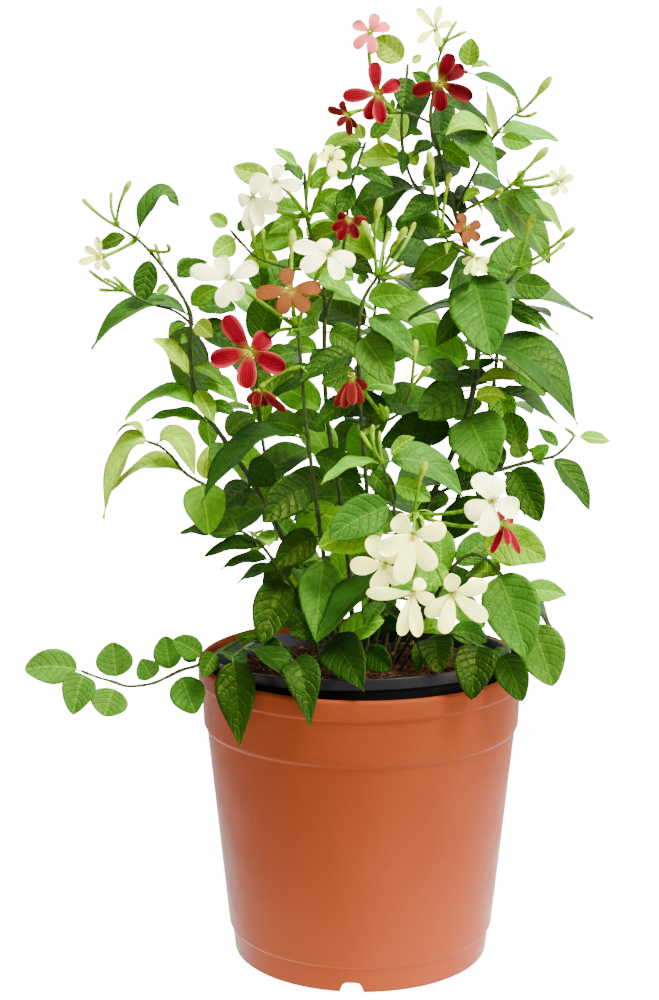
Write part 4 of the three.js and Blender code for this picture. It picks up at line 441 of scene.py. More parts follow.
        "name": "stem_rim_left", "on": "", "radii": [1.14, 0.7], "size": 24,
        "points": [
            [-35, 182, -36], [-53, 200, -52], [-69, 198, -64], [-83, 188, -72],
        ],
        "leaves": [
            [-81, 184, -77, 131, -12, 24, 3, 6], [-71, 188, -40, 167, -24, 13, 8, 6],
            [-61, 199, -55, 186, -8, 14, 4, 6],
        ],
    },
    {
        "name": "stem_back_left", "on": "", "radii": [1.67, 0.76], "size": 56,
        "points": [
            [-11, 190, 18], [-31, 240, 32], [-53, 290, 44], [-63, 340, 50], [-65, 385, 50],
            [-59, 425, 44],
        ],
        "leaves": [],
    },
    {
        "name": "stem_back_middle", "on": "", "radii": [1.75, 0.76], "size": 58,
        "points": [
            [3, 190, 22], [7, 240, 42], [9, 300, 56], [5, 350, 60], [7, 400, 52], [13, 445, 40],
            [15, 475, 30],
        ],
        "leaves": [],
    },
    {
        "name": "stem_back_right", "on": "", "radii": [1.67, 0.76], "size": 56,
        "points": [
            [19, 190, 18], [39, 240, 36], [61, 295, 46], [77, 340, 48], [83, 385, 42], [81, 425, 34],
        ],
        "leaves": [],
    },
    {
        "name": "stem_rim_twig", "node": "stem_rim_left", "on": "stem_rim_left",
        "radii": [1.1, 0.8], "size": 30,
        "points": [
            [-53, 200, -52], [-47, 192, -74], [-42, 185, -90],
        ],
        "leaves": [
            [-42, 183, -32, 143, -26, 22, 8, 6],
        ],
    },
]

# Flower stalks that branch from the stems
SPRAYS = [
    {
        "name": "spray_top_left", "on": "stem_tall", "radii": [0.91, 0.76],
        "points": [[41, 521, 4], [35, 524, 0], [27, 527, -10], [17, 527, -14]],
    },
    {
        "name": "spray_top_right", "on": "stem_tall", "radii": [0.84, 0.7],
        "points": [[46, 547, 8], [45, 557, 8], [48, 566, 6], [49, 569, 6]],
    },
    {
        "name": "spray_upper_right", "on": "stem_upper_right", "radii": [0.76, 0.7],
        "points": [[85, 520, -6], [90, 525, -8], [95, 528, -8]],
    },
    {
        "name": "spray_upper_middle", "on": "stem_tall", "radii": [0.91, 0.76],
        "points": [[66, 440, 4], [56, 447, -10], [47, 456, -16]],
    },
    {
        "name": "spray_bloom", "on": "stem_bloom", "radii": [0.99, 0.84],
        "points": [[-39, 395, -54], [-40, 399, -56], [-41, 403, -57]],
    },
    {
        "name": "spray_centre", "on": "stem_centre", "radii": [0.91, 0.76],
        "points": [[-31, 456, -12], [-33, 460, -18], [-34, 466, -24]],
    },
    {
        "name": "spray_low", "on": "stem_front", "radii": [1.06, 0.91],
        "points": [[22, 260, -58], [28, 272, -68], [34, 284, -76]],
    },
    {
        "name": "spray_yellow", "on": "stem_crown", "radii": [0.99, 0.84],
        "points": [[0, 335, -43], [19, 342, -56], [28, 352, -60], [31, 366, -60]],
    },
]

# Buds by the stem or stalk that they grow from:
# [start x, start z, bend x, bend z, bend y, end x, end z, end y, length of the swollen end]
BUDS = {
    "stem_top_shoot": [
        [25, 500, 15, 500, -4, 9, 513, -6, 7],
    ],
    "stem_upper_left": [
        [-63, 440, -66, 448, -28, -67, 459, -28, 6], [-59, 439, -61, 448, -24, -60, 458, -22, 6],
    ],
    "stem_left": [
        [-150, 460, -150, 472, -6, -140, 487, -8, 8], [-148, 459, -154, 468, -2, -152, 480, 0, 5],
        [-150, 460, -159, 464, -8, -170, 476, -12, 6], [-131, 444, -113, 441, -6, -119, 449, -12, 5],
        [-121, 434, -124, 441, -6, -126, 449, -8, 5],
    ],
    "stem_left_twig": [
        [-148, 421, -157, 424, -18, -167, 433, -20, 4], [-143, 419, -150, 425, -20, -158, 428, -24, 4],
        [-139, 417, -146, 424, -12, -152, 429, -8, 4], [-148, 421, -154, 420, -14, -161, 421, -10, 5],
    ],
    "stem_bud_right": [
        [96, 436, 98, 450, -12, 104, 467, -14, 10], [96, 436, 111, 442, -12, 129, 459, -16, 9],
        [94, 433, 111, 437, -6, 123, 450, -2, 7],
    ],
    "stem_right_top": [
        [65, 471, 75, 475, -14, 85, 482, -20, 8], [89, 483, 97, 492, -10, 112, 507, -12, 10],
        [93, 486, 105, 487, -4, 117, 492, 0, 5],
    ],
    "stem_right": [
        [132, 332, 129, 334, -14, 125, 336, -16, 4],
    ],
    "stem_front": [
        [13, 314, 5, 322, -66, 7, 338, -68, 6], [14, 312, 7, 320, -60, -1, 334, -58, 5],
        [14, 313, 11, 322, -56, 11, 334, -54, 4],
    ],
    "stem_crown": [
        [8, 429, 9, 446, -54, 0, 463, -56, 11], [10, 430, 11, 444, -50, 17, 456, -48, 7],
        [12, 431, 17, 444, -56, 27, 459, -60, 9], [12, 431, 25, 443, -48, 32, 462, -46, 6],
        [11, 430, 18, 431, -60, 25, 438, -66, 5], [10, 429, 17, 426, -54, 27, 431, -58, 5],
        [9, 429, 5, 450, -52, 11, 477, -56, 12],
    ],
    "spray_top_right": [
        [48, 566, 51, 574, 4, 56, 581, 4, 4], [49, 568, 54, 572, 7, 62, 575, 8, 4],
    ],
    "spray_upper_right": [
        [95, 528, 102, 533, -8, 113, 549, -10, 11], [92, 526, 98, 523, -12, 105, 528, -16, 4],
        [93, 527, 95, 532, -2, 92, 537, 2, 4],
    ],
    "spray_upper_middle": [
        [47, 456, 44, 476, -20, 40, 505, -20, 12], [47, 456, 49, 474, -14, 53, 492, -10, 8],
    ],
    "spray_bloom": [
        [-41, 400, -45, 424, -64, -42, 458, -66, 12],
    ],
    "spray_centre": [
        [-33, 462, -36, 480, -20, -28, 504, -24, 12],
    ],
    "spray_low": [
        [35, 285, 34, 298, -78, 40, 315, -80, 9],
    ],
    "spray_yellow": [
        [31, 364, 32, 376, -62, 33, 391, -64, 9], [30, 360, 35, 366, -64, 42, 374, -68, 9],
    ],
}

# Flowers: name, stem, colour, centre [x, z, y], tube [start x, start z, bend x, bend z, bend y], petals'
# width, petals' tips [x, z, depth past the centre]
FLOWERS = [
    ["corolla_red_top_left", "spray_top_left", "red", [8.5, 538.5, -30], [17, 527, 11, 534, -8], 8.5,
     [[7, 557, 2], [22, 545, 3], [11.5, 521, -3], [3, 523, 1], [-12, 537, -1]]],
    ["corolla_pink_top", "spray_top_left", "pink", [4.5, 575, -10], [19, 527, 1, 546, 0], 7,
     [[8, 585, 3], [16, 578, 4], [6, 562, -4], [-5, 565, -2], [-6, 579, 3]]],
    ["corolla_drooping_top", "spray_top_left", "fading", [-9, 526, -20], [17, 527, 5, 532, -12], 5,
     [[-21, 530, -3], [-15, 519, -6], [-7, 514, -3], [-4, 518, 4], [-13, 534, 6]]],
    ["corolla_red_top_right", "spray_top_right", "dark_red", [46, 545, -22], [45, 557, 46, 549, -2], 9,
     [[53, 562, 0], [66, 536, -3], [47, 528, -2], [30, 539, -1], [60, 554, 6]]],
    ["corolla_cream_top", "spray_top_right", "cream", [43, 577, 2], [47, 563, 45, 571, 4], 5,
     [[32, 588, 2], [33, 568, -3], [46, 566, -4], [53, 580, 4], [46, 590, 5]]],
    ["corolla_white_right", "stem_right_top", "cream", [119, 486, -10], [92, 485, 103, 481, -8], 5,
     [[127, 490, 0], [123, 479, -4], [114, 478, -2], [113, 492, 4], [121, 496, 5]]],
    ["corolla_white_upper", "spray_centre", "white", [-67, 477, -42], [-35, 466, -53, 466, -28], 9,
     [[-69, 457, -4], [-61, 459, -7], [-52, 468, 0], [-62, 489, 4], [-75, 474, 3]]],
    ["corolla_white_upper_right", "spray_centre", "white", [-53, 486, -34], [-34, 466, -43, 480, -28], 8,
     [[-37, 483, 1], [-51, 474, -6], [-61, 477, -3], [-67, 488, 2], [-50, 496, 6]]],
    ["corolla_cream_middle", "spray_centre", "cream", [-19, 500, -34], [-32, 462, -25, 482, -26], 6,
     [[-10, 493, -2], [-11, 504, 3], [-21, 508, 3], [-27, 501, -1], [-18, 489, -5]]],
    ["corolla_crimson_middle", "stem_middle", "dark_red", [-8, 464, -36], [-10, 455, -3, 462, -26], 6,
     [[-18, 457, -3], [-14, 451, -5], [-3, 452, -4], [3, 462, 1], [-15, 466, 4]]],
    ["corolla_white_large", "spray_bloom", "white", [-20, 443, -66], [-39, 398, -34, 418, -62], 10,
     [[-42, 447, 2], [-37, 433, -4], [-14, 427, -5], [-4, 438, 1], [-25, 452, 5]]],
    ["corolla_white_left", "spray_bloom", "white", [-81, 428, -64], [-40, 398, -61, 412, -54], 10,
     [[-105, 433, 0], [-63, 435, 0], [-74, 415, -3], [-86, 410, -4], [-87, 441, 5]]],
    ["corolla_peach", "spray_bloom", "peach", [-44, 421, -76], [-41, 402, -42, 409, -64], 9,
     [[-65, 418, -2], [-50, 406, -4], [-33, 408, -3], [-25, 422, 1], [-47, 434, 4]]],
    ["corolla_red_large", "spray_bloom", "red", [-69, 383, -76], [-38, 396, -51, 401, -56], 12,
     [[-84, 405, 2], [-57, 393, 3], [-47, 373, -2], [-71, 360, -5], [-93, 378, 0]]],
    ["corolla_fading_left", "stem_bloom", "fading", [-63, 360, -66], [-37, 374, -51, 372, -62], 6,
     [[-70, 351, -2], [-65, 349, -5], [-47, 346, -4], [-53, 352, 2], [-59, 350, 6]]],
    ["corolla_folded", "spray_yellow", "fading", [-6, 368, -66], [13, 342, -1, 362, -58], 6,
     [[-16, 349, 0], [-11, 348, -5], [-6, 350, -8], [0, 351, -3], [3, 360, 3]]],
    ["corolla_tan_right", "spray_upper_middle", "cream", [69, 441, -20], [53, 450, 61, 447, -18], 5,
     [[62, 431, -3], [68, 430, -5], [75, 431, -2], [77, 438, 3], [61, 438, 3]]],
    ["corolla_peach_right", "spray_upper_middle", "peach", [63, 459, -22], [49, 455, 56, 455, -12], 6,
     [[71, 451, -4], [63, 449, -6], [55, 458, -4], [59, 467, 3], [72, 461, 4]]],
    ["corolla_cream_left", "stem_left", "cream", [-159, 441, -18], [-143, 442, -151, 443, -16], 5,
     [[-173, 437, -1], [-162, 433, -4], [-154, 433, 1], [-161, 453, 4], [-169, 447, 0]]],
    ["corolla_white_low_left", "spray_low", "ivory", [14.5, 249, -94], [33, 281, 19, 262, -80], 11,
     [[6, 268, 3], [-7, 249, 0], [10, 231, -4], [26, 238, 2], [26, 262, 5]]],
    ["corolla_white_low", "spray_low", "ivory", [32, 268, -90], [34, 284, 33, 280, -86], 12,
     [[53, 272, 1], [45, 246, -5], [24, 237, -7], [10, 259, -4], [21, 280, 5]]],
    ["corolla_white_hanging", "spray_low", "ivory", [32, 231, -100], [34, 282, 37, 256, -82], 8,
     [[3, 231, 4], [25, 204, -2], [36, 203, -5], [46, 226, -3], [39, 240, 4]]],
    ["corolla_white_low_right", "spray_low", "ivory", [57, 231, -98], [35, 282, 44, 250, -76], 10,
     [[79, 237, 1], [79, 214, -4], [52, 205, -6], [41, 216, -1], [56, 244, -7]]],
    ["corolla_white_right_low", "spray_low", "white", [81, 290, -88], [35, 284, 55, 279, -80], 13,
     [[71, 307, 2], [84, 306, 5], [97, 283, 1], [77, 268, -5], [65, 281, -2]]],
    ["corolla_red_small", "spray_low", "red", [89, 276, -78], [35, 282, 57, 270, -72], 5,
     [[86, 286, 2], [94, 279, 4], [99, 257, -4], [91, 262, -8], [81, 257, -3]]],
]

# The plant's outline as seen, which further leaves stay inside
OUTLINE = [
    [-65, 205], [-73, 240], [-99, 262], [-101, 290], [-101, 330], [-113, 365], [-109, 400], [-91, 436],
    [-77, 462], [-59, 488], [-31, 500], [-1, 515], [19, 530], [49, 535], [75, 512], [97, 498], [107, 470],
    [109, 440], [115, 415], [119, 385], [115, 350], [107, 322], [109, 290], [105, 262], [103, 225],
    [91, 204],
]


def unit(vector):
    return vector / np.linalg.norm(vector, axis=-1, keepdims=True)


def dot(a, b):
    return np.sum(a * b, axis=-1, keepdims=True)


def square_to(vector, axis):
    return unit(vector - dot(vector, axis) * axis)


def seen(place):
    """The place in space of [x, z, y] as the rows give it."""
    x, z, y = place
    scale = 1 - y / EYE[1]
    return np.array([x * scale, y, EYE[2] + (z - EYE[2]) * scale])


def as_seen(points):
    """Where points look to be on the upright plane through the pot's axis."""
    scale = 1 - points[..., 1] / EYE[1]
    return np.stack([points[..., 0] / scale, EYE[2] + (points[..., 2] - EYE[2]) / scale], axis=-1)


def seeded_draw(seed):
    """A function that draws the next number from 0 to 1 of a fixed run."""
    limit = 0xFFFFFFFF
    state = seed

    def draw():
        nonlocal state
        state = (state + 0x6D2B79F5) & limit
        word = ((state ^ (state >> 15)) * (1 | state)) & limit
        word = ((word + ((word ^ (word >> 7)) * (61 | word))) & limit) ^ word
        return (word ^ (word >> 14)) / (limit + 1)

    return draw


def arch(start, bend, end, share):
    """Places on a curve from start to end that leans towards bend."""
    u = np.asarray(share, dtype=float)[..., None]
    return start * (1 - u) ** 2 + bend * (2 * u * (1 - u)) + end * u**2


def arch_direction(start, bend, end, share):
    u = np.asarray(share, dtype=float)[..., None]
    return unit((bend - start) * (1 - u) + (end - bend) * u)


def smooth_curve(places, shares):
    """Points of a curve that runs evenly through the places, at shares of the way from first to last."""
    ends = [2 * places[0] - places[1], *places, 2 * places[-1] - places[-2]]
    spans = len(places) - 1
    points = []
    for share in shares:
        at = min(int(share * spans), spans - 1)
        w = share * spans - at
        before, here, there, after = ends[at : at + 4]
        slope_in = 0.5 * (there - before)
        slope_out = 0.5 * (after - here)
        square = 3 * (there - here) - 2 * slope_in - slope_out
        cube = 2 * (here - there) + slope_in + slope_out
        points.append(here + w * (slope_in + w * (square + w * cube)))
    return np.array(points)


@dataclass
class Leaf:
    """A leaf on a curve from root over bend to tip, whose first share, the petiole, is its stalk."""

    root: np.ndarray
    bend: np.ndarray
    tip: np.ndarray
    petiole: float
    stalk: float
    length: float
    width: float = 0.0
    face: np.ndarray = None
    samples: np.ndarray = None
    tone: int = 0
    is_further: bool = False
    true_root: np.ndarray = None

    def half_width(self, share):
        is_round = self.width / self.length > ROUND_RATIO
        swell_power, tip_cut, fullness = ROUND_BLADE if is_round else NARROW_BLADE
        swell = np.sin(np.pi * np.power(share, swell_power))
        closing = 1 - tip_cut * np.power(share, TIP_POWER)
        return self.width / 2 * np.power(np.maximum(swell, 0), fullness) * closing

    def spots(self, share, across):
        """Places and upward directions at shares of the blade's length and of its half width."""
        share, across = np.broadcast_arrays(np.asarray(share, float), np.asarray(across, float))
        u = self.petiole + (1 - self.petiole) * share
        along = arch_direction(self.root, self.bend, self.tip, u)
        normal = square_to(self.face, along)
        side = np.cross(along, normal)
        half = np.maximum(self.half_width(share), np.where(share < 0.5, PETIOLE_WIDTH / 2, 0))
        place = arch(self.root, self.bend, self.tip, u)
        place = place + side * (across * half)[..., None]
        return place + normal * (FOLD * half * np.abs(across))[..., None], normal

    def sample(self):
        """Spread points over the blade and the stalk, to measure its clearance."""
        steps = math.ceil(self.length / SAMPLE_STEP)
        lanes = math.ceil(self.width / SAMPLE_STEP / 2)
        shares = np.arange(steps + 1)[:, None] / steps
        across = np.arange(-lanes, lanes + 1)[None, :] / lanes
        places, _ = self.spots(shares, across)
        stalk_steps = math.ceil(self.stalk / SAMPLE_STEP)
        stalk = arch(self.root, self.bend, self.tip, self.petiole * np.arange(stalk_steps) / stalk_steps)
        self.samples = np.concatenate([places.reshape(-1, 3), stalk])


def make_leaf(root, stalk, tip, lift):
    bend = (root + tip) / 2
    bend[2] += 2 * lift
    chord = np.linalg.norm(tip - root)
    whole = (2 * chord + np.linalg.norm(bend - root) + np.linalg.norm(tip - bend)) / 3
    petiole = min(stalk / whole, MOST_PETIOLE)
    return Leaf(root, bend, tip, petiole, petiole * whole, whole * (1 - petiole))


def seen_face(leaf, seen_width):
    """The face that turns the leaf's upper side up and out, and shows it as broad as it was seen."""
    middle = arch(leaf.root, leaf.bend, leaf.tip, 0.5)
    along = unit(leaf.tip - leaf.root)
    to_eye = square_to(EYE - middle, along)
    turned = np.cross(along, to_eye)
    share = min(seen_width / leaf.width, 1)
    rest = math.sqrt(1 - share * share)
    outward = unit(np.array([middle[0], middle[1], 0.0]))
    left, right = (to_eye * share + turned * sign * rest for sign in (1, -1))
    rises = [face[2] + OUTWARD_PULL * np.dot(face, outward) for face in (left, right)]
    return left if rises[0] >= rises[1] else right


def nearest_on(trace, x, z):
    """The index of the trace's point that looks nearest to (x, z), and how far off it looks."""
    gaps = np.hypot(*(as_seen(trace) - [x, z]).T)
    best = int(np.argmin(gaps))
    return best, gaps[best]


INNER_AXIS = unit(np.array([-RISE_TO_RIGHT, RISE_TO_FRONT, 1.0]))
INNER_RIM = np.array([0.0, 0.0, INNER_RIM_CENTRE])


def outer_radius_at(z):
    share = (z - SKIRT_HEIGHT) / (LIP_HEIGHT - SKIRT_HEIGHT)
    wall = np.maximum(BASE_RADIUS, SKIRT_RADIUS + (LIP_RADIUS - SKIRT_RADIUS) * share)
    return np.where(z > LIP_HEIGHT - 1, RIM_RADIUS, wall)


def clears_pots(places):
    """Whether places are outside the outer pot, over the soil or over the nursery pot's rim."""
    from_rim = places - INNER_RIM
    height = from_rim @ INNER_AXIS
    radius = np.linalg.norm(from_rim - height[:, None] * INNER_AXIS, axis=1)
    z = places[:, 2]
    over = z > POT_HEIGHT + OVER_SURFACE
    limit = np.where(over, RIM_RADIUS - OVER_RIM_BAND, outer_radius_at(z) + OUTSIDE_WALL)
    outside = np.hypot(places[:, 0], places[:, 1]) > limit
    is_within = radius < INNER_RIM_RADIUS - INSIDE_WALL
    inside = is_within & (height > SOIL_DOME - SOIL_BELOW_RIM + OVER_SURFACE)
    above = ~is_within & (height > OUTSIDE_WALL) & over
    return bool(np.all(outside | inside | above))


@dataclass
class Taken:
    """What a placed piece takes up: points on it, and how far it reaches round them."""

    node: str
    points: np.ndarray
    reach: float
    is_stem: bool = False
    is_further: bool = False
    seen_points: np.ndarray = field(init=False)

    def __post_init__(self):
        self.seen_points = as_seen(self.points)


class Crowd:
    """All that is placed so far, with the boxes that they fill in space and as seen."""

    def __init__(self):
        self.items = []
        self.low, self.high = np.zeros((2, CROWD_ROOM, 3))
        self.window_low, self.window_high = np.zeros((2, CROWD_ROOM, 2))

    def add(self, item):
        at = len(self.items)
        self.items.append(item)
        self.low[at] = item.points.min(axis=0) - item.reach
        self.high[at] = item.points.max(axis=0) + item.reach
        self.window_low[at] = item.seen_points.min(axis=0) - SAMPLE_STEP
        self.window_high[at] = item.seen_points.max(axis=0) + SAMPLE_STEP

    def near(self, low, high):
        count = len(self.items)
        apart = np.any(self.low[:count] > high, axis=1) | np.any(self.high[:count] < low, axis=1)
        return [self.items[at] for at in np.flatnonzero(~apart)]

    def shown_near(self, low, high):
        count = len(self.items)
        apart = np.any(self.window_low[:count] > high, axis=1)
        apart |= np.any(self.window_high[:count] < low, axis=1)
        return [(self.items[at], at) for at in np.flatnonzero(~apart)]


crowd = Crowd()
host_of = {}
node_of = {}
traces = {}
true_traces = {}


def squared_gaps(a, b):
    """The squared distance of each point of a from each point of b."""
    return (a**2).sum(1)[:, None] - 2 * a @ b.T + (b**2).sum(1)[None, :]


def is_clear(node, points, reach, root):
    """Whether a piece of a node stays clear of all that is placed, but for its kin near its root."""
    low = points.min(axis=0)
    high = points.max(axis=0)
    away = points[np.linalg.norm(points - root, axis=1) >= ROOT_ZONE]
    for other in crowd.near(low - reach - CLEAR, high + reach + CLEAR):
        own = other.node == node
        if own and other.is_stem:
            continue
        near = reach + other.reach + CLEAR
        kin = own or other.node == host_of.get(node)
        tested = away if kin else points
        close = other.points[np.all((other.points >= low - near) & (other.points <= high + near), axis=1)]
        if len(tested) and len(close) and squared_gaps(tested, close).min() <= near * near:
            return False
    return True


def hides_seen(points):
    """Whether a further leaf would stand before what is placed as seen."""
    shown = as_seen(points)
    hiding = np.zeros(len(points), dtype=bool)
    for other, at in crowd.shown_near(shown.min(axis=0), shown.max(axis=0)):
        if other.is_stem or other.is_further:
            continue
        inside = (shown >= crowd.window_low[at]) & (shown <= crowd.window_high[at])
        inside = np.all(inside, axis=1) & ~hiding
        if not inside.any():
            continue
        near = squared_gaps(shown[inside], other.seen_points) < SAMPLE_STEP * SAMPLE_STEP
        behind = other.points[None, :, 1] > points[inside][:, None, 1]
        hiding[inside] = np.any(near & behind, axis=1)
    return hiding.sum() > len(points) * FURTHER_OVERLAP


def is_covered(spot):
    """Whether a leaf or flower already stands before or behind a spot as seen."""
    spot = np.array([spot])
    for other, _ in crowd.shown_near(spot[0], spot[0]):
        if not other.is_stem and squared_gaps(spot, other.seen_points).min() < FILL_REACH * FILL_REACH:
            return True
    return False


def inside_outline(spot):
    x, z = spot
    inside = False
    for (ax, az), (bx, bz) in zip(OUTLINE, OUTLINE[1:] + OUTLINE[:1]):
        if (az > z) != (bz > z) and x < ax + (z - az) * (bx - ax) / (bz - az):
            inside = not inside
    return inside


def length_of(trace):
    return np.linalg.norm(np.diff(trace, axis=0), axis=1).sum()


@dataclass
class Growth:
    """What one node holds: stems, leaves, flower tubes, buds and, for a corolla, its petals."""

    stems: list = field(default_factory=list)
    leaves: list = field(default_factory=list)
    tubes: list = field(default_factory=list)
    buds: list = field(default_factory=list)
    flower: dict = None


growths = {}


def growth(node):
    return growths.setdefault(node, Growth())


def place_stem(stem):
    name = stem["name"]
    node = stem.get("node", name)
    places = [seen(point) for point in stem["points"]]
    if stem["on"]:
        at, _ = nearest_on(traces[stem["on"]], *stem["points"][0][:2])
        places[0] = traces[stem["on"]][at]
        curve_places = [true_traces[stem["on"]][at], *places[1:]]
    else:
        places.insert(0, places[0] - [0, 0, ROOT_DEPTH])
        curve_places = places
    gaps = len(places) - 1
    spread = length_of(np.array(places))
    spans = 2 * gaps if spread / gaps > LONG_SPAN else gaps
    centres = smooth_curve(places, np.arange(spans + 1) / spans)
    weights = np.arange(TRACE_STEPS)[None, :, None] / TRACE_STEPS
    trace = (centres[:-1, None] * (1 - weights) + centres[1:, None] * weights).reshape(-1, 3)
    shares = np.arange(spans * TRACE_STEPS) / (spans * TRACE_STEPS)
    traces[name] = trace
    true_traces[name] = smooth_curve(curve_places, shares)
    node_of[name] = node
    if node == name:
        host_of[node] = stem["on"]
    thick, thin = stem["radii"]
    growth(node).stems.append((curve_places, thick, thin))
    crowd.add(Taken(node, trace, (thick + thin) / 2, is_stem=True))


def arch_samples(start, bend, end):
    steps = math.ceil((np.linalg.norm(bend - start) + np.linalg.norm(end - bend)) / SAMPLE_STEP)
    return arch(start, bend, end, np.arange(steps + 1) / steps)


def petal_frame(centre, tip, width, facing):
    """A petal's foot, bend and tip, its upward direction and its side."""
    along = unit(tip - centre)
    normal = square_to(facing, along)
    foot = centre + along * PETAL_FOOT
    bend = (centre + tip) / 2 + normal * PETAL_ARCH * width
    return foot, bend, tip, normal, np.cross(along, normal)


def ribbon_samples(centre, tip, width, facing):
    """Points spread over a petal."""
    foot, bend, end, _, side = petal_frame(centre, tip, width, facing)
    rows = []
    for share, fullness in PETAL_STATIONS:
        place = arch(foot, bend, end, share)
        hands = [-1, 1] if fullness > 0 else [0, 0]
        rows.append([place + side * hand * fullness * width / 2 for hand in hands])
    samples = []
    for (left, right), (next_left, next_right) in zip(rows, rows[1:]):
        longest = max(np.linalg.norm(left - next_left), np.linalg.norm(right - next_right))
        widest = max(np.linalg.norm(left - right), np.linalg.norm(next_left - next_right))
        steps = math.ceil(longest / SAMPLE_STEP)
        lanes = math.ceil(widest / SAMPLE_STEP)
        share = np.arange(steps + 1)[:, None, None] / steps
        across = np.arange(lanes + 1)[None, :, None] / lanes
        left_edge = left + (next_left - left) * share
        right_edge = right + (next_right - right) * share
        samples.append((left_edge * (1 - across) + right_edge * across).reshape(-1, 3))
    return np.concatenate(samples)


def flower_at(row, push):
    """A flower pushed so far back along the line of sight."""
    _, on, tone, centre, tube, width, tips = row
    middle = seen([centre[0], centre[1], centre[2] + push])
    ends = [seen([x, z, centre[2] + past + push]) for x, z, past in tips]
    at, _ = nearest_on(traces[on], tube[0], tube[1])
    bend = seen([tube[2], tube[3], tube[4] + push / 2])
    along = unit(middle - bend)
    facing = unit(unit(EYE - middle) + along * FACE_ALONG)
    end = middle - along * (HUB_RADIUS + MOUTH_GAP)
    return {
        "middle": middle, "ends": ends, "width": width, "facing": facing, "tone": tone,
        "start": traces[on][at], "true_start": true_traces[on][at], "bend": bend, "end": end,
        "along": along,
    }


def ribbons_of(flower):
    middle, width, facing = flower["middle"], flower["width"], flower["facing"]
    return [ribbon_samples(middle, end, width, facing) for end in flower["ends"]]


def tube_of(flower):
    return arch_samples(flower["start"], flower["bend"], flower["end"])


def flower_fits(name, on, flower):
    start = flower["start"]
    petals_fit = all(is_clear(name, ribbon, BLADE_REACH, start) for ribbon in ribbons_of(flower))
    return petals_fit and is_clear(on, tube_of(flower), TUBE_MOUTH, start)


def place_flower(row):
    name, on = row[:2]
    trials = (flower_at(row, push) for push in PUSHES)
    flower = next((trial for trial in trials if flower_fits(name, on, trial)), flower_at(row, 0))
    growth(on).tubes.append(flower)
    crowd.add(Taken(on, tube_of(flower), TUBE_MOUTH))
    growth(name).flower = flower
    for ribbon in ribbons_of(flower):
        crowd.add(Taken(name, ribbon, BLADE_REACH))


def place_bud(on, row):
    start_x, start_z, bend_x, bend_z, bend_y, end_x, end_z, end_y, bud_length = row
    node = node_of[on]
    at, _ = nearest_on(traces[on], start_x, start_z)
    start = traces[on][at]

    def reach(push):
        return seen([bend_x, bend_z, bend_y + push / 2]), seen([end_x, end_z, end_y + push])

    def fits(push):
        return is_clear(node, arch_samples(start, *reach(push)), BUD_RADIUS, start)

    bend, end = reach(next((push for push in PUSHES if fits(push)), 0))
    girth = min(BUD_RADIUS, bud_length * BUD_GIRTH)
    growth(node).buds.append((true_traces[on][at], bend, end, bud_length, girth))
    crowd.add(Taken(node, arch_samples(start, bend, end), girth))


def leaf_fits(node, leaf):
    leaf.sample()
    free = leaf.samples[np.linalg.norm(leaf.samples - leaf.root, axis=1) > ROOT_ZONE]
    return clears_pots(free) and is_clear(node, leaf.samples, BLADE_REACH, leaf.root)


def finish_leaf(node, leaf, true_root):
    leaf.true_root = true_root
    growth(node).leaves.append(leaf)
    crowd.add(Taken(node, leaf.samples, BLADE_REACH, is_further=leaf.is_further))


def leaf_effort(trial):
    push, lift, shift = trial
    return abs(push) + LIFT_EFFORT * abs(lift) + SHIFT_EFFORT * abs(shift)


# A leaf as seen slides along the line of sight, lifts or moves its foot along the stem until it is clear.
LEAF_TRIALS = sorted(
    [(push, lift, shift) for push in PUSHES for lift in LIFTS for shift in SHIFTS], key=leaf_effort
)


def place_seen_leaf(stem, row):
    base_x, base_z, tip_x, tip_z, depth, seen_width, lift, tone = row
    trace = traces[stem["name"]]
    node = node_of[stem["name"]]
    at, distance = nearest_on(trace, base_x, base_z)
    stalk = min(max(distance, SHORTEST_STALK), LONGEST_STALK)
    for push, raised, shift in LEAF_TRIALS:
        foot = min(max(at + shift, 0), len(trace) - 1)
        root = trace[foot]
        leaf = make_leaf(root, stalk, seen([tip_x, tip_z, root[1] + depth + push]), lift + raised)
        leaf.width = max(seen_width, BLADE_RATIO * leaf.length)
        leaf.face = seen_face(leaf, seen_width)
        leaf.tone = tone
        if leaf_fits(node, leaf):
            finish_leaf(node, leaf, true_traces[stem["name"]][foot])
            return


def place_further_leaves(stem, draw):
    """Pairs of further leaves up a stem, turned a quarter round from pair to pair."""
    node = node_of[stem["name"]]
    trace = traces[stem["name"]]
    spacing = FURTHER_SPACING if stem["leaves"] else BACK_SPACING
    step = math.floor(spacing * len(trace) / length_of(trace) + 0.5)
    turn = draw() * math.pi
    for at in range(step, len(trace), step):
        turn += math.pi / 2
        for half in (0, math.pi):
            for _ in range(FURTHER_TRIES):
                heading = turn + half + (draw() - 0.5) * HEADING_SWING
                reach = stem["size"] * (LEAST_REACH + REACH_SWING * draw())
                rise = HIGHEST_RISE - RISE_SWING * draw()
                root = trace[at]
                outward = np.array([math.cos(heading), math.sin(heading), 0.0])
                tip = root + outward * reach * OUTWARD_SHARE
                tip[2] += reach * rise
                leaf = make_leaf(root, FURTHER_STALK, tip, reach * FURTHER_ARCH)
                leaf.width = FURTHER_RATIO * leaf.length
                leaf.face = unit(np.array([0, 0, 1]) + outward * OUTWARD_LEAN)
                leaf.is_further = True
                ends = [leaf.spots(share, 0)[0] for share in (0.5, 1)]
                if not all(inside_outline(as_seen(place)) for place in ends):
                    continue
                if leaf_fits(node, leaf) and not hides_seen(leaf.samples):
                    finish_leaf(node, leaf, true_traces[stem["name"]][at])
                    break


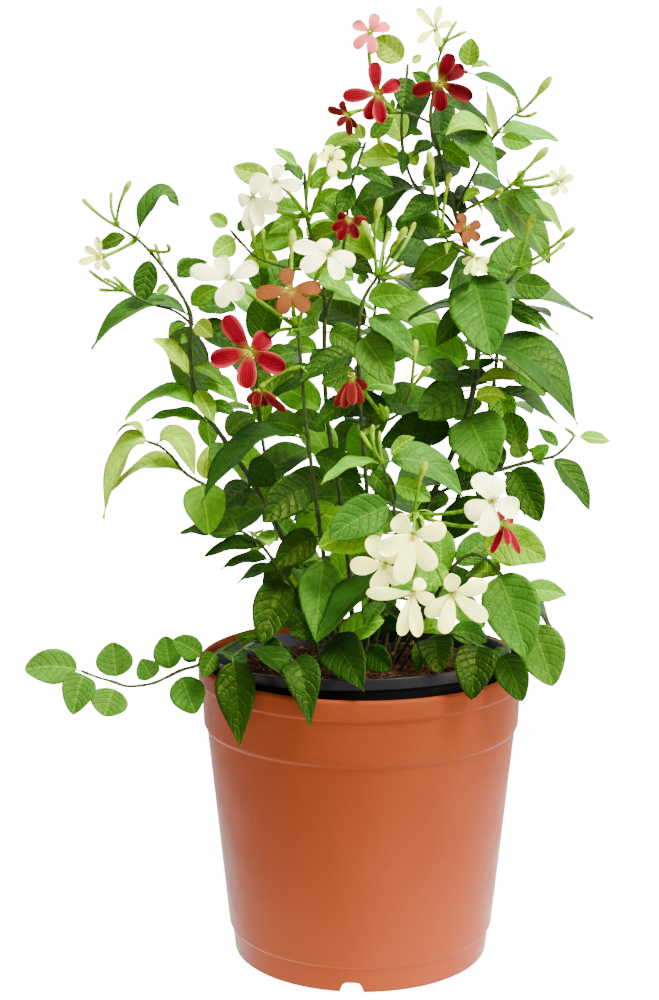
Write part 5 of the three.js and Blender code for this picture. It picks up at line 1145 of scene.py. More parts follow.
def fill_spot(spot, draw):
    """A leaf with its middle on the spot, from a stem near it, that fills a gap as seen."""
    x, z = spot
    feet = []
    for stem in STEMS:
        trace = traces[stem["name"]]
        shown = as_seen(trace)
        distance = np.hypot(shown[:, 0] - x, shown[:, 1] - z)
        is_near = (distance > FILL_NEAREST) & (distance < FILL_FARTHEST) & (trace[:, 2] > FILL_BOTTOM)
        if stem["on"]:
            is_near &= np.linalg.norm(trace - trace[0], axis=1) > FORK_ROOM
        feet.extend((stem["name"], at, *shown[at]) for at in np.flatnonzero(is_near))
    if not feet:
        return
    for _ in range(FILL_TRIES):
        name, at, foot_x, foot_z = feet[math.floor(draw() * len(feet))]
        root = traces[name][at]
        past = LEAST_PAST + PAST_SWING * draw()
        depth = root[1] + (draw() - FORWARD_SHARE) * DEPTH_SWING
        tip = seen([x + (x - foot_x) * past, z + (z - foot_z) * past, depth])
        leaf = make_leaf(root, FILL_STALK, tip, FILL_ARCH)
        leaf.width = FILL_RATIO * leaf.length
        leaf.face = unit(np.array([draw() - 0.5, 0, UPWARD_SHARE]) + unit(EYE - tip))
        leaf.is_further = True
        node = node_of[name]
        if inside_outline(as_seen(tip)) and leaf_fits(node, leaf) and not hides_seen(leaf.samples):
            finish_leaf(node, leaf, true_traces[name][at])
            return


def fill_gaps(draw):
    for z in range(FILL_BOTTOM, FILL_TOP, FILL_STEP):
        for x in range(-FILL_SIDE, FILL_SIDE + 1, FILL_STEP):
            spot = (x + (draw() - 0.5) * FILL_STEP, z + (draw() - 0.5) * FILL_STEP)
            if inside_outline(spot) and not is_covered(spot):
                fill_spot(spot, draw)


def place_plant():
    for stem in STEMS + SPRAYS:
        place_stem(stem)
    for row in FLOWERS:
        place_flower(row)
    for on, rows in BUDS.items():
        for row in rows:
            place_bud(on, row)
    for stem in STEMS:
        for row in stem["leaves"]:
            place_seen_leaf(stem, row)
    draw = seeded_draw(LEAF_SEED)
    fill_gaps(draw)
    for stem in STEMS:
        place_further_leaves(stem, draw)


# Numbers of the finer pieces. A leaf or petal is a thin closed plate over a grid of rows and lanes.
MESH_SEED = 7
LEAF_ROWS = 18
LEAF_LANES = 10
LEAF_HALF_THICKNESS = 0.2
ROW_CROWDING = 0.35
LANE_POWER = 0.9
VEIN_PAIRS = 6
VEIN_LEAN = 0.25
VEIN_BOW = 1.2
QUILT = 0.5
QUILT_START = 0.12
QUILT_END = 0.85
QUILT_FROM_MIDRIB = 0.2
MARGIN_WAVE = 1.0
MARGIN_WAVES = (1.2, 2.4)
WAVE_START = 0.2
FULL_RELIEF_LENGTH = 50
MOST_RELIEF = 1.2
NO_RIB = 9.0

# The stalk, which runs on under the blade as its midrib. Its radii are at the foot, just past it,
# where the blade begins, and at the tip.
STALK_RADII = [0.95, 0.6, 0.54, 0.14]
STALK_PAST_FOOT = 0.04
LEAST_PETIOLE = 0.01
MIDRIB_END = 0.93
MIDRIB_DROP = 0.25
STALK_SIDES = 6
STALK_ROWS = 6
MIDRIB_ROWS = 9
FULL_STALK_LENGTH = 45
MOST_STALK = 1.15

random = np.random.default_rng(MESH_SEED)


def mixed(a, b, share):
    share = np.asarray(share, dtype=float)[..., None]
    return a * (1 - share) + b * share


def smooth_step(low, high, value):
    t = np.clip((value - low) / (high - low), 0, 1)
    return t * t * (3 - 2 * t)


def new_object(name, data):
    made = bpy.data.objects.new(name, data)
    bpy.context.scene.collection.objects.link(made)
    return made


def new_mesh(name, points, faces):
    """A mesh of points in millimetres."""
    mesh = bpy.data.meshes.new(name)
    mesh.from_pydata(np.asarray(points) * MM, [], faces)
    return mesh


def stand_for(piece, nodes):
    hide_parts(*nodes)
    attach(piece, "root")


class Surface:
    """Points and faces of one piece, with a colour, a vein place and a midrib distance for each point."""

    def __init__(self):
        self.points = []
        self.tints = []
        self.veins = []
        self.ribs = []
        self.faces = []
        self.count = 0

    def add(self, points, faces, tint, vein=0.0, rib=NO_RIB):
        size = len(points)
        self.points.append(points)
        self.tints.append(np.broadcast_to(tint, (size, 3)))
        self.veins.append(np.broadcast_to(vein, (size,)))
        self.ribs.append(np.broadcast_to(rib, (size,)))
        self.faces.extend(tuple(int(corner) + self.count for corner in face) for face in faces)
        self.count += size

    def make(self, name, material, nodes):
        mesh = new_mesh(name, np.concatenate(self.points), self.faces)
        tints = np.concatenate(self.tints)
        tints = np.concatenate([tints, np.ones((len(tints), 1))], axis=1)
        tint = mesh.attributes.new("tint", "FLOAT_COLOR", "POINT")
        tint.data.foreach_set("color", tints.astype(np.float32).ravel())
        for attribute_name, values in (("vein", self.veins), ("rib", self.ribs)):
            attribute = mesh.attributes.new(attribute_name, "FLOAT", "POINT")
            attribute.data.foreach_set("value", np.concatenate(values).astype(np.float32))
        mesh.polygons.foreach_set("use_smooth", np.ones(len(mesh.polygons), dtype=bool))
        mesh.materials.append(material)
        stand_for(new_object(name, mesh), nodes)


def grid_faces(rows, columns, start=0, flip=False, wrap=False):
    faces = []
    for row in range(rows - 1):
        for column in range(columns if wrap else columns - 1):
            after = (column + 1) % columns
            a = start + row * columns + column
            b = start + row * columns + after
            c = start + (row + 1) * columns + after
            d = start + (row + 1) * columns + column
            faces.append((d, c, b, a) if flip else (a, b, c, d))
    return faces


def cap_faces(sides, low, low_ring, high, high_ring):
    """Faces round the middle points low and high that close rings which start at the given points."""
    faces = []
    for column in range(sides):
        after = (column + 1) % sides
        faces.append((low, low_ring + after, low_ring + column))
        faces.append((high, high_ring + column, high_ring + after))
    return faces


def plate_faces(rows, columns):
    """Faces of a closed thin plate whose upper grid of points is followed by its lower one."""
    lower = rows * columns
    faces = grid_faces(rows, columns) + grid_faces(rows, columns, lower, flip=True)
    border = [(0, column) for column in range(columns - 1)]
    border += [(row, columns - 1) for row in range(rows - 1)]
    border += [(rows - 1, column) for column in range(columns - 1, 0, -1)]
    border += [(row, 0) for row in range(rows - 1, 0, -1)]
    corners = [row * columns + column for row, column in border]
    for a, b in zip(corners, corners[1:] + corners[:1]):
        faces.append((b, a, lower + a, lower + b))
    return faces


def add_plate(surface, places, offset, upper, under, vein, rib=NO_RIB):
    """A closed thin plate round a grid of places, with a colour for each side of it."""
    shape = places.shape[:2]
    points = np.concatenate([(places + offset).reshape(-1, 3), (places - offset).reshape(-1, 3)])
    tints = [np.broadcast_to(tint, places.shape).reshape(-1, 3) for tint in (upper, under)]
    veins, ribs = (np.tile(np.broadcast_to(value, shape).ravel(), 2) for value in (vein, rib))
    surface.add(points, plate_faces(*shape), np.concatenate(tints), veins, ribs)


TUBE_START_SIDE = np.array([0.31, 0.82, 0.48])


def add_tube(surface, path, radii, tints, sides):
    """A closed round tube along a path of points, with a radius and a colour at each."""
    path = np.asarray(path, dtype=float)
    along = unit(np.gradient(path, axis=0))
    side = square_to(TUBE_START_SIDE, along[0])
    rings = []
    angles = 2 * np.pi * np.arange(sides) / sides
    for place, direction, radius in zip(path, along, radii):
        side = square_to(side, direction)
        up = np.cross(direction, side)
        rings.append(place + radius * (np.cos(angles)[:, None] * side + np.sin(angles)[:, None] * up))
    points = np.concatenate([path[:1], *rings, path[-1:]])
    tints = np.broadcast_to(tints, (len(path), 3))
    point_tints = np.concatenate([tints[:1], np.repeat(tints, sides, axis=0), tints[-1:]])
    last = len(points) - 1
    faces = grid_faces(len(path), sides, 1, wrap=True) + cap_faces(sides, 0, 1, last, last - sides)
    surface.add(points, faces, point_tints)


# Surface colours are the shares of red, green and blue light that come back. A leaf's tone is its place in
# this list. The leaf colours hold painted light and shade on top of each leaf's own colour: a leaf that
# lies in shade has a darker tone, a lit one a lighter tone.
DARK_LEAF = np.array([0.006, 0.0258, 0.0019])
MID_LEAF = np.array([0.0175, 0.062, 0.0045])
BRIGHT_LEAF = np.array([0.056, 0.175, 0.0055])
LIME_LEAF = np.array([0.078, 0.195, 0.003])
YOUNG_LEAF = np.array([0.148, 0.285, 0.006])
GREY_LEAF = np.array([0.029, 0.082, 0.006])
DEEP_LEAF = np.array([0.003, 0.0125, 0.001])
LEAF_TINTS_AND_SHADES = [DARK_LEAF, MID_LEAF, BRIGHT_LEAF, LIME_LEAF, YOUNG_LEAF, GREY_LEAF, DEEP_LEAF]
YOUNG_TONE = 4
YOUNG_EDGE = np.array([0.2, 0.1, 0.02])
YOUNG_EDGE_SHARE = 0.55
LEAST_YOUNG_EDGE = 0.4
UNDERSIDE = np.array([0.036, 0.1, 0.006])
UNDERSIDE_SHARE = 0.42
PETIOLE = np.array([0.04, 0.08, 0.006])
PETIOLE_LEAF_SHARE = 0.35
BRIGHTNESS_SWING = 0.12
HUE_SWING = 0.06

# How likely a further leaf has each of the leaf colours, by the height that its middle is over. Higher
# leaves get lighter tones, partly for the lime of young growth and partly as painted light where more
# light falls from above.
FURTHER_TONES = [
    (430, [0.1, 0.35, 0.33, 0.17, 0.05, 0.0, 0.0]),
    (300, [0.15, 0.4, 0.32, 0.13, 0.0, 0.0, 0.0]),
    (0, [0.3, 0.4, 0.24, 0.06, 0.0, 0.0, 0.0]),
]


# The leaf's colour with painted light and shade, from its tone or, for a further leaf, from its height
def leaf_tint_and_shade(leaf):
    if leaf.is_further:
        height = arch(leaf.root, leaf.bend, leaf.tip, 0.5)[2]
        chances = next(row for least, row in FURTHER_TONES if height > least)
        base = LEAF_TINTS_AND_SHADES[random.choice(len(LEAF_TINTS_AND_SHADES), p=chances)]
    else:
        base = LEAF_TINTS_AND_SHADES[leaf.tone]
    swing = random.normal(0, BRIGHTNESS_SWING)
    lean = random.normal(0, HUE_SWING)
    return base * np.array([1 + swing + lean, 1 + swing, 1 + swing - lean])


def blade_relief(leaf, share, lane, vein):
    """How far a blade stands off its smooth form: quilted between its veins, waved at its margin."""
    out = np.abs(lane)
    size = min(leaf.length / FULL_RELIEF_LENGTH, MOST_RELIEF)
    fade = (1 - out**4) * smooth_step(0, QUILT_START, share) * (1 - smooth_step(QUILT_END, 1, share))
    quilt = QUILT * size * (np.abs(np.sin(np.pi * vein)) - 0.5) * fade
    quilt = quilt * smooth_step(0, QUILT_FROM_MIDRIB, out)
    phase = random.uniform(0, 2 * np.pi)
    waves = random.uniform(*MARGIN_WAVES)
    wave = MARGIN_WAVE * size * np.sin(2 * np.pi * waves * share + phase + np.sign(lane)) * lane**2
    return quilt + wave * smooth_step(0, WAVE_START, share)


def add_leaf(surface, wood, leaf):
    even = np.arange(LEAF_ROWS + 1) / LEAF_ROWS
    shares = (1 - ROW_CROWDING) * even + ROW_CROWDING * (1 - np.cos(np.pi * even)) / 2
    lanes = np.linspace(-1, 1, LEAF_LANES + 1)
    across = np.sign(lanes) * np.abs(lanes) ** LANE_POWER
    share, lane = np.meshgrid(shares, across, indexing="ij")
    out = np.abs(lane)
    places, normals = leaf.spots(share, lane)
    vein = VEIN_PAIRS * (share - VEIN_LEAN * out**VEIN_BOW)
    places = places + normals * blade_relief(leaf, share, lane, vein)[..., None]
    tint = leaf_tint_and_shade(leaf)
    upper = np.broadcast_to(tint, places.shape)
    if leaf.tone == YOUNG_TONE and not leaf.is_further:
        edge = YOUNG_EDGE_SHARE * out**3 * random.uniform(LEAST_YOUNG_EDGE, 1)
        upper = mixed(tint, YOUNG_EDGE, edge)
    under = mixed(upper, UNDERSIDE, UNDERSIDE_SHARE)
    rib = out * leaf.half_width(share)
    add_plate(surface, places, normals * LEAF_HALF_THICKNESS, upper, under, vein, rib)
    add_stalk(wood, leaf, tint)


def add_stalk(wood, leaf, tint):
    """The leaf's stalk from the stem, which runs on under the blade as its midrib."""
    petiole = leaf.petiole
    stalk_shares = np.linspace(0, petiole, STALK_ROWS + 1)[:-1]
    u = np.concatenate([stalk_shares, np.linspace(petiole, MIDRIB_END, MIDRIB_ROWS)])
    path = arch(leaf.root, leaf.bend, leaf.tip, u)
    pull = np.clip(1 - u / max(petiole, LEAST_PETIOLE), 0, 1) ** 2
    path = path + (leaf.true_root - leaf.root) * pull[:, None]
    along = arch_direction(leaf.root, leaf.bend, leaf.tip, u)
    normal = square_to(leaf.face, along)
    path = path - normal * (MIDRIB_DROP * smooth_step(0, petiole, u))[:, None]
    size = min(leaf.length / FULL_STALK_LENGTH, MOST_STALK)
    radii = np.interp(u, [0, STALK_PAST_FOOT, petiole, 1], STALK_RADII) * size
    add_tube(wood, path, radii, mixed(PETIOLE, tint, PETIOLE_LEAF_SHARE), STALK_SIDES)


BARK = np.array([0.018, 0.02, 0.005])
GREEN_STEM = np.array([0.02, 0.042, 0.007])
TUBE_GREEN = np.array([0.045, 0.12, 0.0004])
TUBE_PALE = np.array([0.11, 0.205, 0.0008])
BUD_PALE = np.array([0.17, 0.27, 0.003])
BUD_GREEN = np.array([0.05, 0.135, 0.0005])
STEM_SIDES = 10
FINE_SIDES = 8

# A stem's rows, its swelling where a leaf grows from it, its blunt end, and the radii from green to bark
STEM_STEP = 4
LEAST_STEM_STEPS = 12
KNOT_SWELL = 0.22
KNOT_REACH = 3
MOST_SWELL = 1.35
STEM_END = 0.6
GREEN_RADIUS = 0.8
BARK_PAST_GREEN = 1.5


def add_stem(wood, places, thick, thin, leaves):
    steps = max(LEAST_STEM_STEPS, int(length_of(np.array(places)) / STEM_STEP))
    shares = np.arange(steps + 1) / steps
    path = smooth_curve(places, shares)
    plain = thick + (thin - thick) * shares
    radii = plain
    for leaf in leaves:
        gap = np.linalg.norm(path - leaf.true_root, axis=1)
        radii = radii + KNOT_SWELL * np.exp(-((gap / KNOT_REACH) ** 2)) * thin
    radii = np.minimum(radii, MOST_SWELL * plain)
    radii[-1] *= STEM_END
    age = np.clip((radii - GREEN_RADIUS) / BARK_PAST_GREEN, 0, 1)
    add_tube(wood, path, radii, mixed(GREEN_STEM, BARK, age), STEM_SIDES)


# A flower tube's radius along it: the round ovary at its foot, the slender tube, and its mouth
TUBE_PLACES = [0, 0.04, 0.1, 0.2, 0.6, 0.88, 0.96, 1, 1.04]
TUBE_RADII = [0.9, 1.5, 1.6, 1.2, 1.1, 1.25, 1.5, 1.8, 1.9]
TUBE_ROWS = 22
TUBE_PULL = 0.3
TUBE_PALE_FROM = 0.5
MOUTH_BEHIND = 0.9


def add_flower_tube(wood, flower):
    u = np.linspace(0, 1, TUBE_ROWS)
    path = arch(flower["start"], flower["bend"], flower["end"], u)
    pull = (1 - np.clip(u / TUBE_PULL, 0, 1)) ** 2
    path = path + (flower["true_start"] - flower["start"]) * pull[:, None]
    path = np.concatenate([path, [flower["middle"] - flower["along"] * MOUTH_BEHIND]])
    u = np.append(u, TUBE_PLACES[-1])
    radii = np.interp(u, TUBE_PLACES, TUBE_RADII)
    tints = mixed(TUBE_GREEN, TUBE_PALE, smooth_step(TUBE_PALE_FROM, 1, u))
    add_tube(wood, path, radii, tints, FINE_SIDES)


# A bud's rows on its tube and its swollen end, and its radii with their places: at its foot, high on
# the tube, where it starts to swell, and over the swollen end as shares of its girth
BUD_MEASURES = 20
NECK_ROWS = 12
SWOLLEN_ROWS = 10
FOOT_PLACES = [0, 0.05, 0.14]
NECK_PLACE = 0.7
SWOLLEN_PLACES = np.array([0, 0.3, 0.6, 0.9])
NECK_RADII = [0.8, 1.3, 0.95, 1.0, 1.25]
SWOLLEN_GIRTHS = [0.86, 1, 0.64]
BUD_POINT = 0.15
PALE_FROM = 0.6


def add_bud(wood, bud):
    start, bend, end, bud_length, girth = bud
    length = length_of(arch(start, bend, end, np.linspace(0, 1, BUD_MEASURES)))
    neck = 1 - bud_length / length
    swell = bud_length / length
    swollen = neck + swell * np.linspace(0, 1, SWOLLEN_ROWS)
    u = np.concatenate([np.linspace(0, neck, NECK_ROWS)[:-1], swollen])
    path = arch(start, bend, end, u)
    marks = [*FOOT_PLACES, neck * NECK_PLACE, *(neck + swell * SWOLLEN_PLACES), 1]
    sizes = [*NECK_RADII, *(girth * share for share in SWOLLEN_GIRTHS), BUD_POINT]
    tints = mixed(BUD_GREEN, BUD_PALE, smooth_step(neck * PALE_FROM, neck + swell / 2, u))
    add_tube(wood, path, np.interp(u, marks, sizes), tints, FINE_SIDES)


BRACT_ROWS = 7
BRACT_LANES = 5
BRACT_RATIO = 0.32
BRACT_STALK = 0.5
BRACT_ARCH = 0.1
BRACT_HALF_THICKNESS = 0.15
BRACT_VEIN = 0.5
BRACT_BRIGHTNESS = (0.75, 1.05)


def add_bract(surface, root, direction, length):
    """A small narrow leaf at the foot of a flower stalk."""
    leaf = make_leaf(root, BRACT_STALK, root + direction * length, length * BRACT_ARCH)
    leaf.width = length * BRACT_RATIO
    leaf.face = unit(np.array([direction[0] / 2, direction[1] / 2, 1.0]))
    shares = np.linspace(0, 1, BRACT_ROWS)
    share, lane = np.meshgrid(shares, np.linspace(-1, 1, BRACT_LANES), indexing="ij")
    places, normals = leaf.spots(share, lane)
    tint = LIME_LEAF * random.uniform(*BRACT_BRIGHTNESS)
    rib = np.abs(lane) * leaf.half_width(share)
    add_plate(surface, places, normals * BRACT_HALF_THICKNESS, tint, tint, BRACT_VEIN, rib)


# A petal's colours: its upper side, its edge and its back
PETAL_TINTS = {
    "red": ([0.1, 0.0002, 0.005], [0.42, 0.065, 0.07], [0.3, 0.02, 0.03]),
    "dark_red": ([0.045, 0.0002, 0.002], [0.2, 0.02, 0.018], [0.24, 0.035, 0.025]),
    "pink": ([0.5, 0.07, 0.1], [0.75, 0.3, 0.3], [0.7, 0.22, 0.22]),
    "fading": ([0.065, 0.003, 0.004], [0.22, 0.055, 0.025], [0.28, 0.08, 0.04]),
    "cream": ([0.72, 0.8, 0.16], [0.82, 0.86, 0.32], [0.56, 0.66, 0.09]),
    "ivory": ([0.8, 0.84, 0.24], [0.86, 0.88, 0.4], [0.6, 0.7, 0.1]),
    "white": ([0.8, 0.83, 0.42], [0.88, 0.9, 0.58], [0.62, 0.72, 0.18]),
    "peach": ([0.1, 0.03, 0.008], [0.075, 0.007, 0.004], [0.2, 0.08, 0.028]),
}
# The colours of the throat, which the petals' feet blend into and the stamens take, and of the anthers
THROAT = np.array([0.22, 0.27, 0.02])
ANTHER = np.array([0.3, 0.2, 0.01])
PETAL_ROWS = 13
PETAL_LANES = [-1.0, -0.88, -0.55, -0.2, 0.2, 0.55, 0.88, 1.0]
PETAL_HALF_THICKNESS = 0.16
PETAL_WIDEST = 0.66
PETAL_BASE = 0.2
PETAL_RISE = 1.25
PETAL_ROUNDING = 2.6
PETAL_END = 0.0004
PETAL_ROW_POWER = 0.9
PETAL_CUPS = (-0.16, 0.2)
CUP_SPAN = (0.2, 0.8)
PETAL_RIPPLE = 0.35
PETAL_RIPPLES = 2.5
PETAL_VEINS = 4
PETAL_SUNK = 0.4
PETAL_OUT = 0.7
EDGE_SHARE = 0.75
EDGE_FROM = 0.8
EDGE_SPAN = (0.1, 0.5)
THROAT_SHARE = 0.8
THROAT_REACH = 0.22


def petal_fullness(share):
    """A petal's half width, as a share of its widest, along its length."""
    turn = np.sin(np.pi / 2 * np.clip(share / PETAL_WIDEST, 0, 1))
    rise = PETAL_BASE + (1 - PETAL_BASE) * turn**PETAL_RISE
    past = np.clip(share - PETAL_WIDEST, 0, 1) / (1 - PETAL_WIDEST)
    return rise * np.sqrt(np.clip(1 - past**PETAL_ROUNDING, PETAL_END, 1))


def add_petal(surface, flower, tip):
    width = flower["width"]
    middle = flower["middle"]
    _, bend, end, normal, side = petal_frame(middle, tip, width, flower["facing"])
    foot = middle - flower["along"] * PETAL_SUNK + unit(tip - middle) * PETAL_OUT
    shares = np.sin(np.pi / 2 * np.linspace(0, 1, PETAL_ROWS)) ** PETAL_ROW_POWER
    share, lane = np.meshgrid(shares, PETAL_LANES, indexing="ij")
    half = petal_fullness(share) * width / 2
    cup = random.uniform(*PETAL_CUPS)
    ripple = PETAL_RIPPLE * np.sin(np.pi * PETAL_RIPPLES * share + random.uniform(0, 6)) * lane**3
    lift = cup * width * lane**2 * smooth_step(*CUP_SPAN, share) + ripple
    places = arch(foot, bend, end, share) + side * (lane * half)[..., None] + normal * lift[..., None]
    inner, edge, back = np.array(PETAL_TINTS[flower["tone"]])
    rim = smooth_step(EDGE_FROM, 1, np.abs(lane)) * smooth_step(*EDGE_SPAN, share)
    upper = mixed(inner, edge, EDGE_SHARE * rim)
    upper = mixed(upper, THROAT, THROAT_SHARE * (1 - smooth_step(0.0, THROAT_REACH, share)))
    add_plate(surface, places, normal * PETAL_HALF_THICKNESS, upper, back, lane * PETAL_VEINS)


STAMENS = 6
STAMEN_SIDES = 5
ANTHER_SIDES = 6
STAMEN_LENGTHS = (2.4, 3.6)
STAMEN_HEADING = (0.7, 0.5)
STAMEN_UNEVEN = 0.2
STAMEN_FLARE = 0.3
STAMEN_BEND = 0.6
STAMEN_RADII = [0.2, 0.16, 0.16, 0.16, 0.14]
ANTHER_PLACES = [-0.5, -0.2, 0.2, 0.5]
ANTHER_RADII = [0.12, 0.42, 0.42, 0.12]


def add_stamens(surface, flower):
    of_tube, of_facing = STAMEN_HEADING
    along = unit(flower["along"] * of_tube + flower["facing"] * of_facing)
    side = square_to(np.array([0.2, 0.3, 1.0]), along)
    up = np.cross(along, side)
    for number in range(STAMENS):
        angle = 2 * np.pi * (number + random.uniform(-STAMEN_UNEVEN, STAMEN_UNEVEN)) / STAMENS
        spread = side * np.cos(angle) + up * np.sin(angle)
        start = flower["middle"] - flower["along"] * 0.5 + spread * 0.5
        reach = random.uniform(*STAMEN_LENGTHS)
        end = start + along * reach + spread * reach * STAMEN_FLARE
        bend = start + along * reach * STAMEN_BEND
        path = arch(start, bend, end, np.linspace(0, 1, len(STAMEN_RADII)))
        add_tube(surface, path, STAMEN_RADII, THROAT, STAMEN_SIDES)
        anther = [end + along * place for place in ANTHER_PLACES]
        add_tube(surface, anther, ANTHER_RADII, ANTHER, ANTHER_SIDES)


TUBE_BRACTS = (8, 15)
BUD_BRACTS = (4.5, 8)
BRACT_ALONG = 0.8
TUBE_BRACT_SPREAD = 0.3
BUD_BRACT_SPREAD = 0.5


def build_corolla(node, flower, material):
    corolla = Surface()
    for tip in flower["ends"]:
        add_petal(corolla, flower, tip)
    add_stamens(corolla, flower)
    corolla.make(f"petals.{node}", material, [node])


def build_growths(leaf_material, wood_material, petal_material):
    for node, grown in growths.items():
        if grown.flower:
            build_corolla(node, grown.flower, petal_material)
            continue
        foliage = Surface()
        wood = Surface()
        for places, thick, thin in grown.stems:
            add_stem(wood, places, thick, thin, grown.leaves)
        for leaf in grown.leaves:
            add_leaf(foliage, wood, leaf)
        for flower in grown.tubes:
            add_flower_tube(wood, flower)
            away = unit(flower["bend"] - flower["start"])
            for turn in (-1, 1):
                lean = np.cross(away, [0, 0, turn]) + away * BRACT_ALONG
                lean = lean + random.normal(0, TUBE_BRACT_SPREAD, 3)
                add_bract(foliage, flower["true_start"], unit(lean), random.uniform(*TUBE_BRACTS))
        for bud in grown.buds:
            add_bud(wood, bud)
            lean = unit(bud[1] - bud[0]) + random.normal(0, BUD_BRACT_SPREAD, 3)
            add_bract(foliage, bud[0], unit(lean), random.uniform(*BUD_BRACTS))
        wood.make(f"wood.{node}", wood_material, [node])
        if foliage.count:
            foliage.make(f"leaves.{node}", leaf_material, [node])


# The finer pots
RING_SIDES = 144
CORNER_STEPS = 3
CORNER_SHARE = 0.45
SHARP_ANGLE = 40
OUTER_ROUNDING = 1.0
INNER_ROUNDING = 0.7
NOTCH_CORNER = (0.25, 0.5)
NOTCH_CORNER_STEPS = 4


def turned_points(profile, sides):
    """Points of a profile of (radius, height) turned round the z axis, in rings from first to last."""
    angles = 2 * np.pi * np.arange(sides) / sides
    radii = np.array([radius for radius, _ in profile])
    heights = np.array([height for _, height in profile])
    x = radii[:, None] * np.cos(angles)
    y = radii[:, None] * np.sin(angles)
    z = np.broadcast_to(heights[:, None], x.shape)
    return np.stack([x, y, z], axis=-1)


def spun(x, y, turn):
    """The places x and y, turned round the z axis."""
    return x * math.cos(turn) - y * math.sin(turn), x * math.sin(turn) + y * math.cos(turn)


def rounded(profile, corner):
    """The profile with each inner corner drawn as a short arc."""
    places = [np.array(place, dtype=float) for place in profile]
    smooth = [places[0]]
    for before, here, after in zip(places, places[1:], places[2:]):
        ends = []
        for other in (before, after):
            span = np.linalg.norm(other - here)
            ends.append(here + (other - here) / span * min(corner, span * CORNER_SHARE))
        smooth.extend(arch(ends[0], here, ends[1], np.linspace(0, 1, CORNER_STEPS + 1)))
    return [*smooth, places[-1]]


def prism(outline, low, high):
    """Points and faces of a prism with its outline in x and y."""
    count = len(outline)
    points = [[x, y, low] for x, y in outline] + [[x, y, high] for x, y in outline]
    faces = [tuple(range(count - 1, -1, -1)), tuple(range(count, 2 * count))]
    for at in range(count):
        after = (at + 1) % count
        faces.append((at, after, count + after, count + at))
    return np.array(points, dtype=float), faces


def drain_cutters(drain, low, high):
    ring, radius = drain
    cutters = []
    for number in range(DRAIN_COUNT):
        turn = 2 * np.pi * (number + 0.5) / DRAIN_COUNT
        angles = 2 * np.pi * np.arange(DRAIN_SIDES) / DRAIN_SIDES
        x = ring * np.cos(turn) + radius * np.cos(angles)
        y = ring * np.sin(turn) + radius * np.sin(angles)
        cutters.append(prism(np.stack([x, y], axis=-1), low - DRAIN_PAST, high + DRAIN_PAST))
    return cutters


def notch_cutters():
    """Arches with soft upper corners that are cut into the skirt from outside."""
    cutters = []
    down, inward = NOTCH_CORNER
    foot = np.array([NOTCH_BOTTOM / 2, -NOTCH_PAST])
    shoulder = np.array([NOTCH_TOP / 2, NOTCH_HEIGHT])
    crown = np.array([0.0, NOTCH_HEIGHT])
    bend_start = mixed(shoulder, foot, down)
    bend_end = mixed(shoulder, crown, inward)
    corner = arch(bend_start, shoulder, bend_end, np.linspace(0, 1, NOTCH_CORNER_STEPS + 1))
    half = [foot, *corner]
    outline = half + [place * [-1, 1] for place in reversed(half)]
    points, faces = prism(outline, -NOTCH_PAST, NOTCH_REACH)
    across, height, depth = points.T
    for number in range(NOTCH_COUNT):
        turn = math.radians(NOTCH_TURN + 360 * number / NOTCH_COUNT)
        x, y = spun(across, depth - BASE_RADIUS, turn)
        cutters.append((np.column_stack([x, y, height]), [face[::-1] for face in faces]))
    return cutters


def cut(piece, cutters):
    helpers = []
    for number, (points, faces) in enumerate(cutters):
        name = f"{piece.name}.cut{number}"
        helper = new_object(name, new_mesh(name, points, faces))
        change = piece.modifiers.new("cut", "BOOLEAN")
        change.operation = "DIFFERENCE"
        change.solver = "EXACT"
        change.object = helper
        helpers.append(helper)
    graph = bpy.context.evaluated_depsgraph_get()
    piece_mesh = bpy.data.meshes.new_from_object(piece.evaluated_get(graph))
    piece.modifiers.clear()
    piece.data = piece_mesh
    for helper in helpers:
        bpy.data.objects.remove(helper)


def turned_piece(name, profile, cutters, placed, material, node):
    """A pot: the profile turned round, with holes cut in it, then placed."""
    rings = turned_points(profile, RING_SIDES).reshape(-1, 3)
    ends = [[0, 0, profile[0][1]], [0, 0, profile[-1][1]]]
    low = len(rings)
    faces = grid_faces(len(profile), RING_SIDES, wrap=True)
    faces += cap_faces(RING_SIDES, low, 0, low + 1, low - RING_SIDES)
    piece = new_object(name, new_mesh(name, np.concatenate([rings, ends]), faces))
    cut(piece, cutters)
    mesh = piece.data
    places = np.empty(len(mesh.vertices) * 3, dtype=np.float32)
    mesh.vertices.foreach_get("co", places)
    places = placed(places.reshape(-1, 3) / MM) * MM
    mesh.vertices.foreach_set("co", places.astype(np.float32).ravel())
    mesh.update()
    mesh.materials.clear()
    mesh.materials.append(material)
    mesh.shade_smooth()
    piece.modifiers.new("edges", "EDGE_SPLIT").split_angle = math.radians(SHARP_ANGLE)
    stand_for(piece, [node])


OUTER_PROFILE = [
    (1, 0), (13, 0), (14, FLOOR_UNDERSIDE), (77.2, FLOOR_UNDERSIDE), (77.9, 0), (BASE_RADIUS, 0),
    (82.4, SKIRT_HEIGHT), (84.1, SKIRT_HEIGHT + 1.5), (97.5, COLLAR_HEIGHT - 0.5),
    (99.3, COLLAR_HEIGHT + 1.5), (LIP_RADIUS, LIP_HEIGHT), (102.5, LIP_HEIGHT + 1.3),
    (RIM_RADIUS, POT_HEIGHT - 1.4), (101.4, POT_HEIGHT), (99.4, POT_HEIGHT), (81.3, FLOOR_TOP),
    (1, FLOOR_TOP),
]
INNER_LEAN = math.atan(math.hypot(RISE_TO_FRONT, RISE_TO_RIGHT))
INNER_HEIGHT = (
    INNER_RIM_CENTRE - FLOOR_TOP - GAP - INNER_BASE_RADIUS * math.sin(INNER_LEAN)
) / math.cos(INNER_LEAN)
INNER_LIP_FOOT = INNER_HEIGHT - INNER_LIP
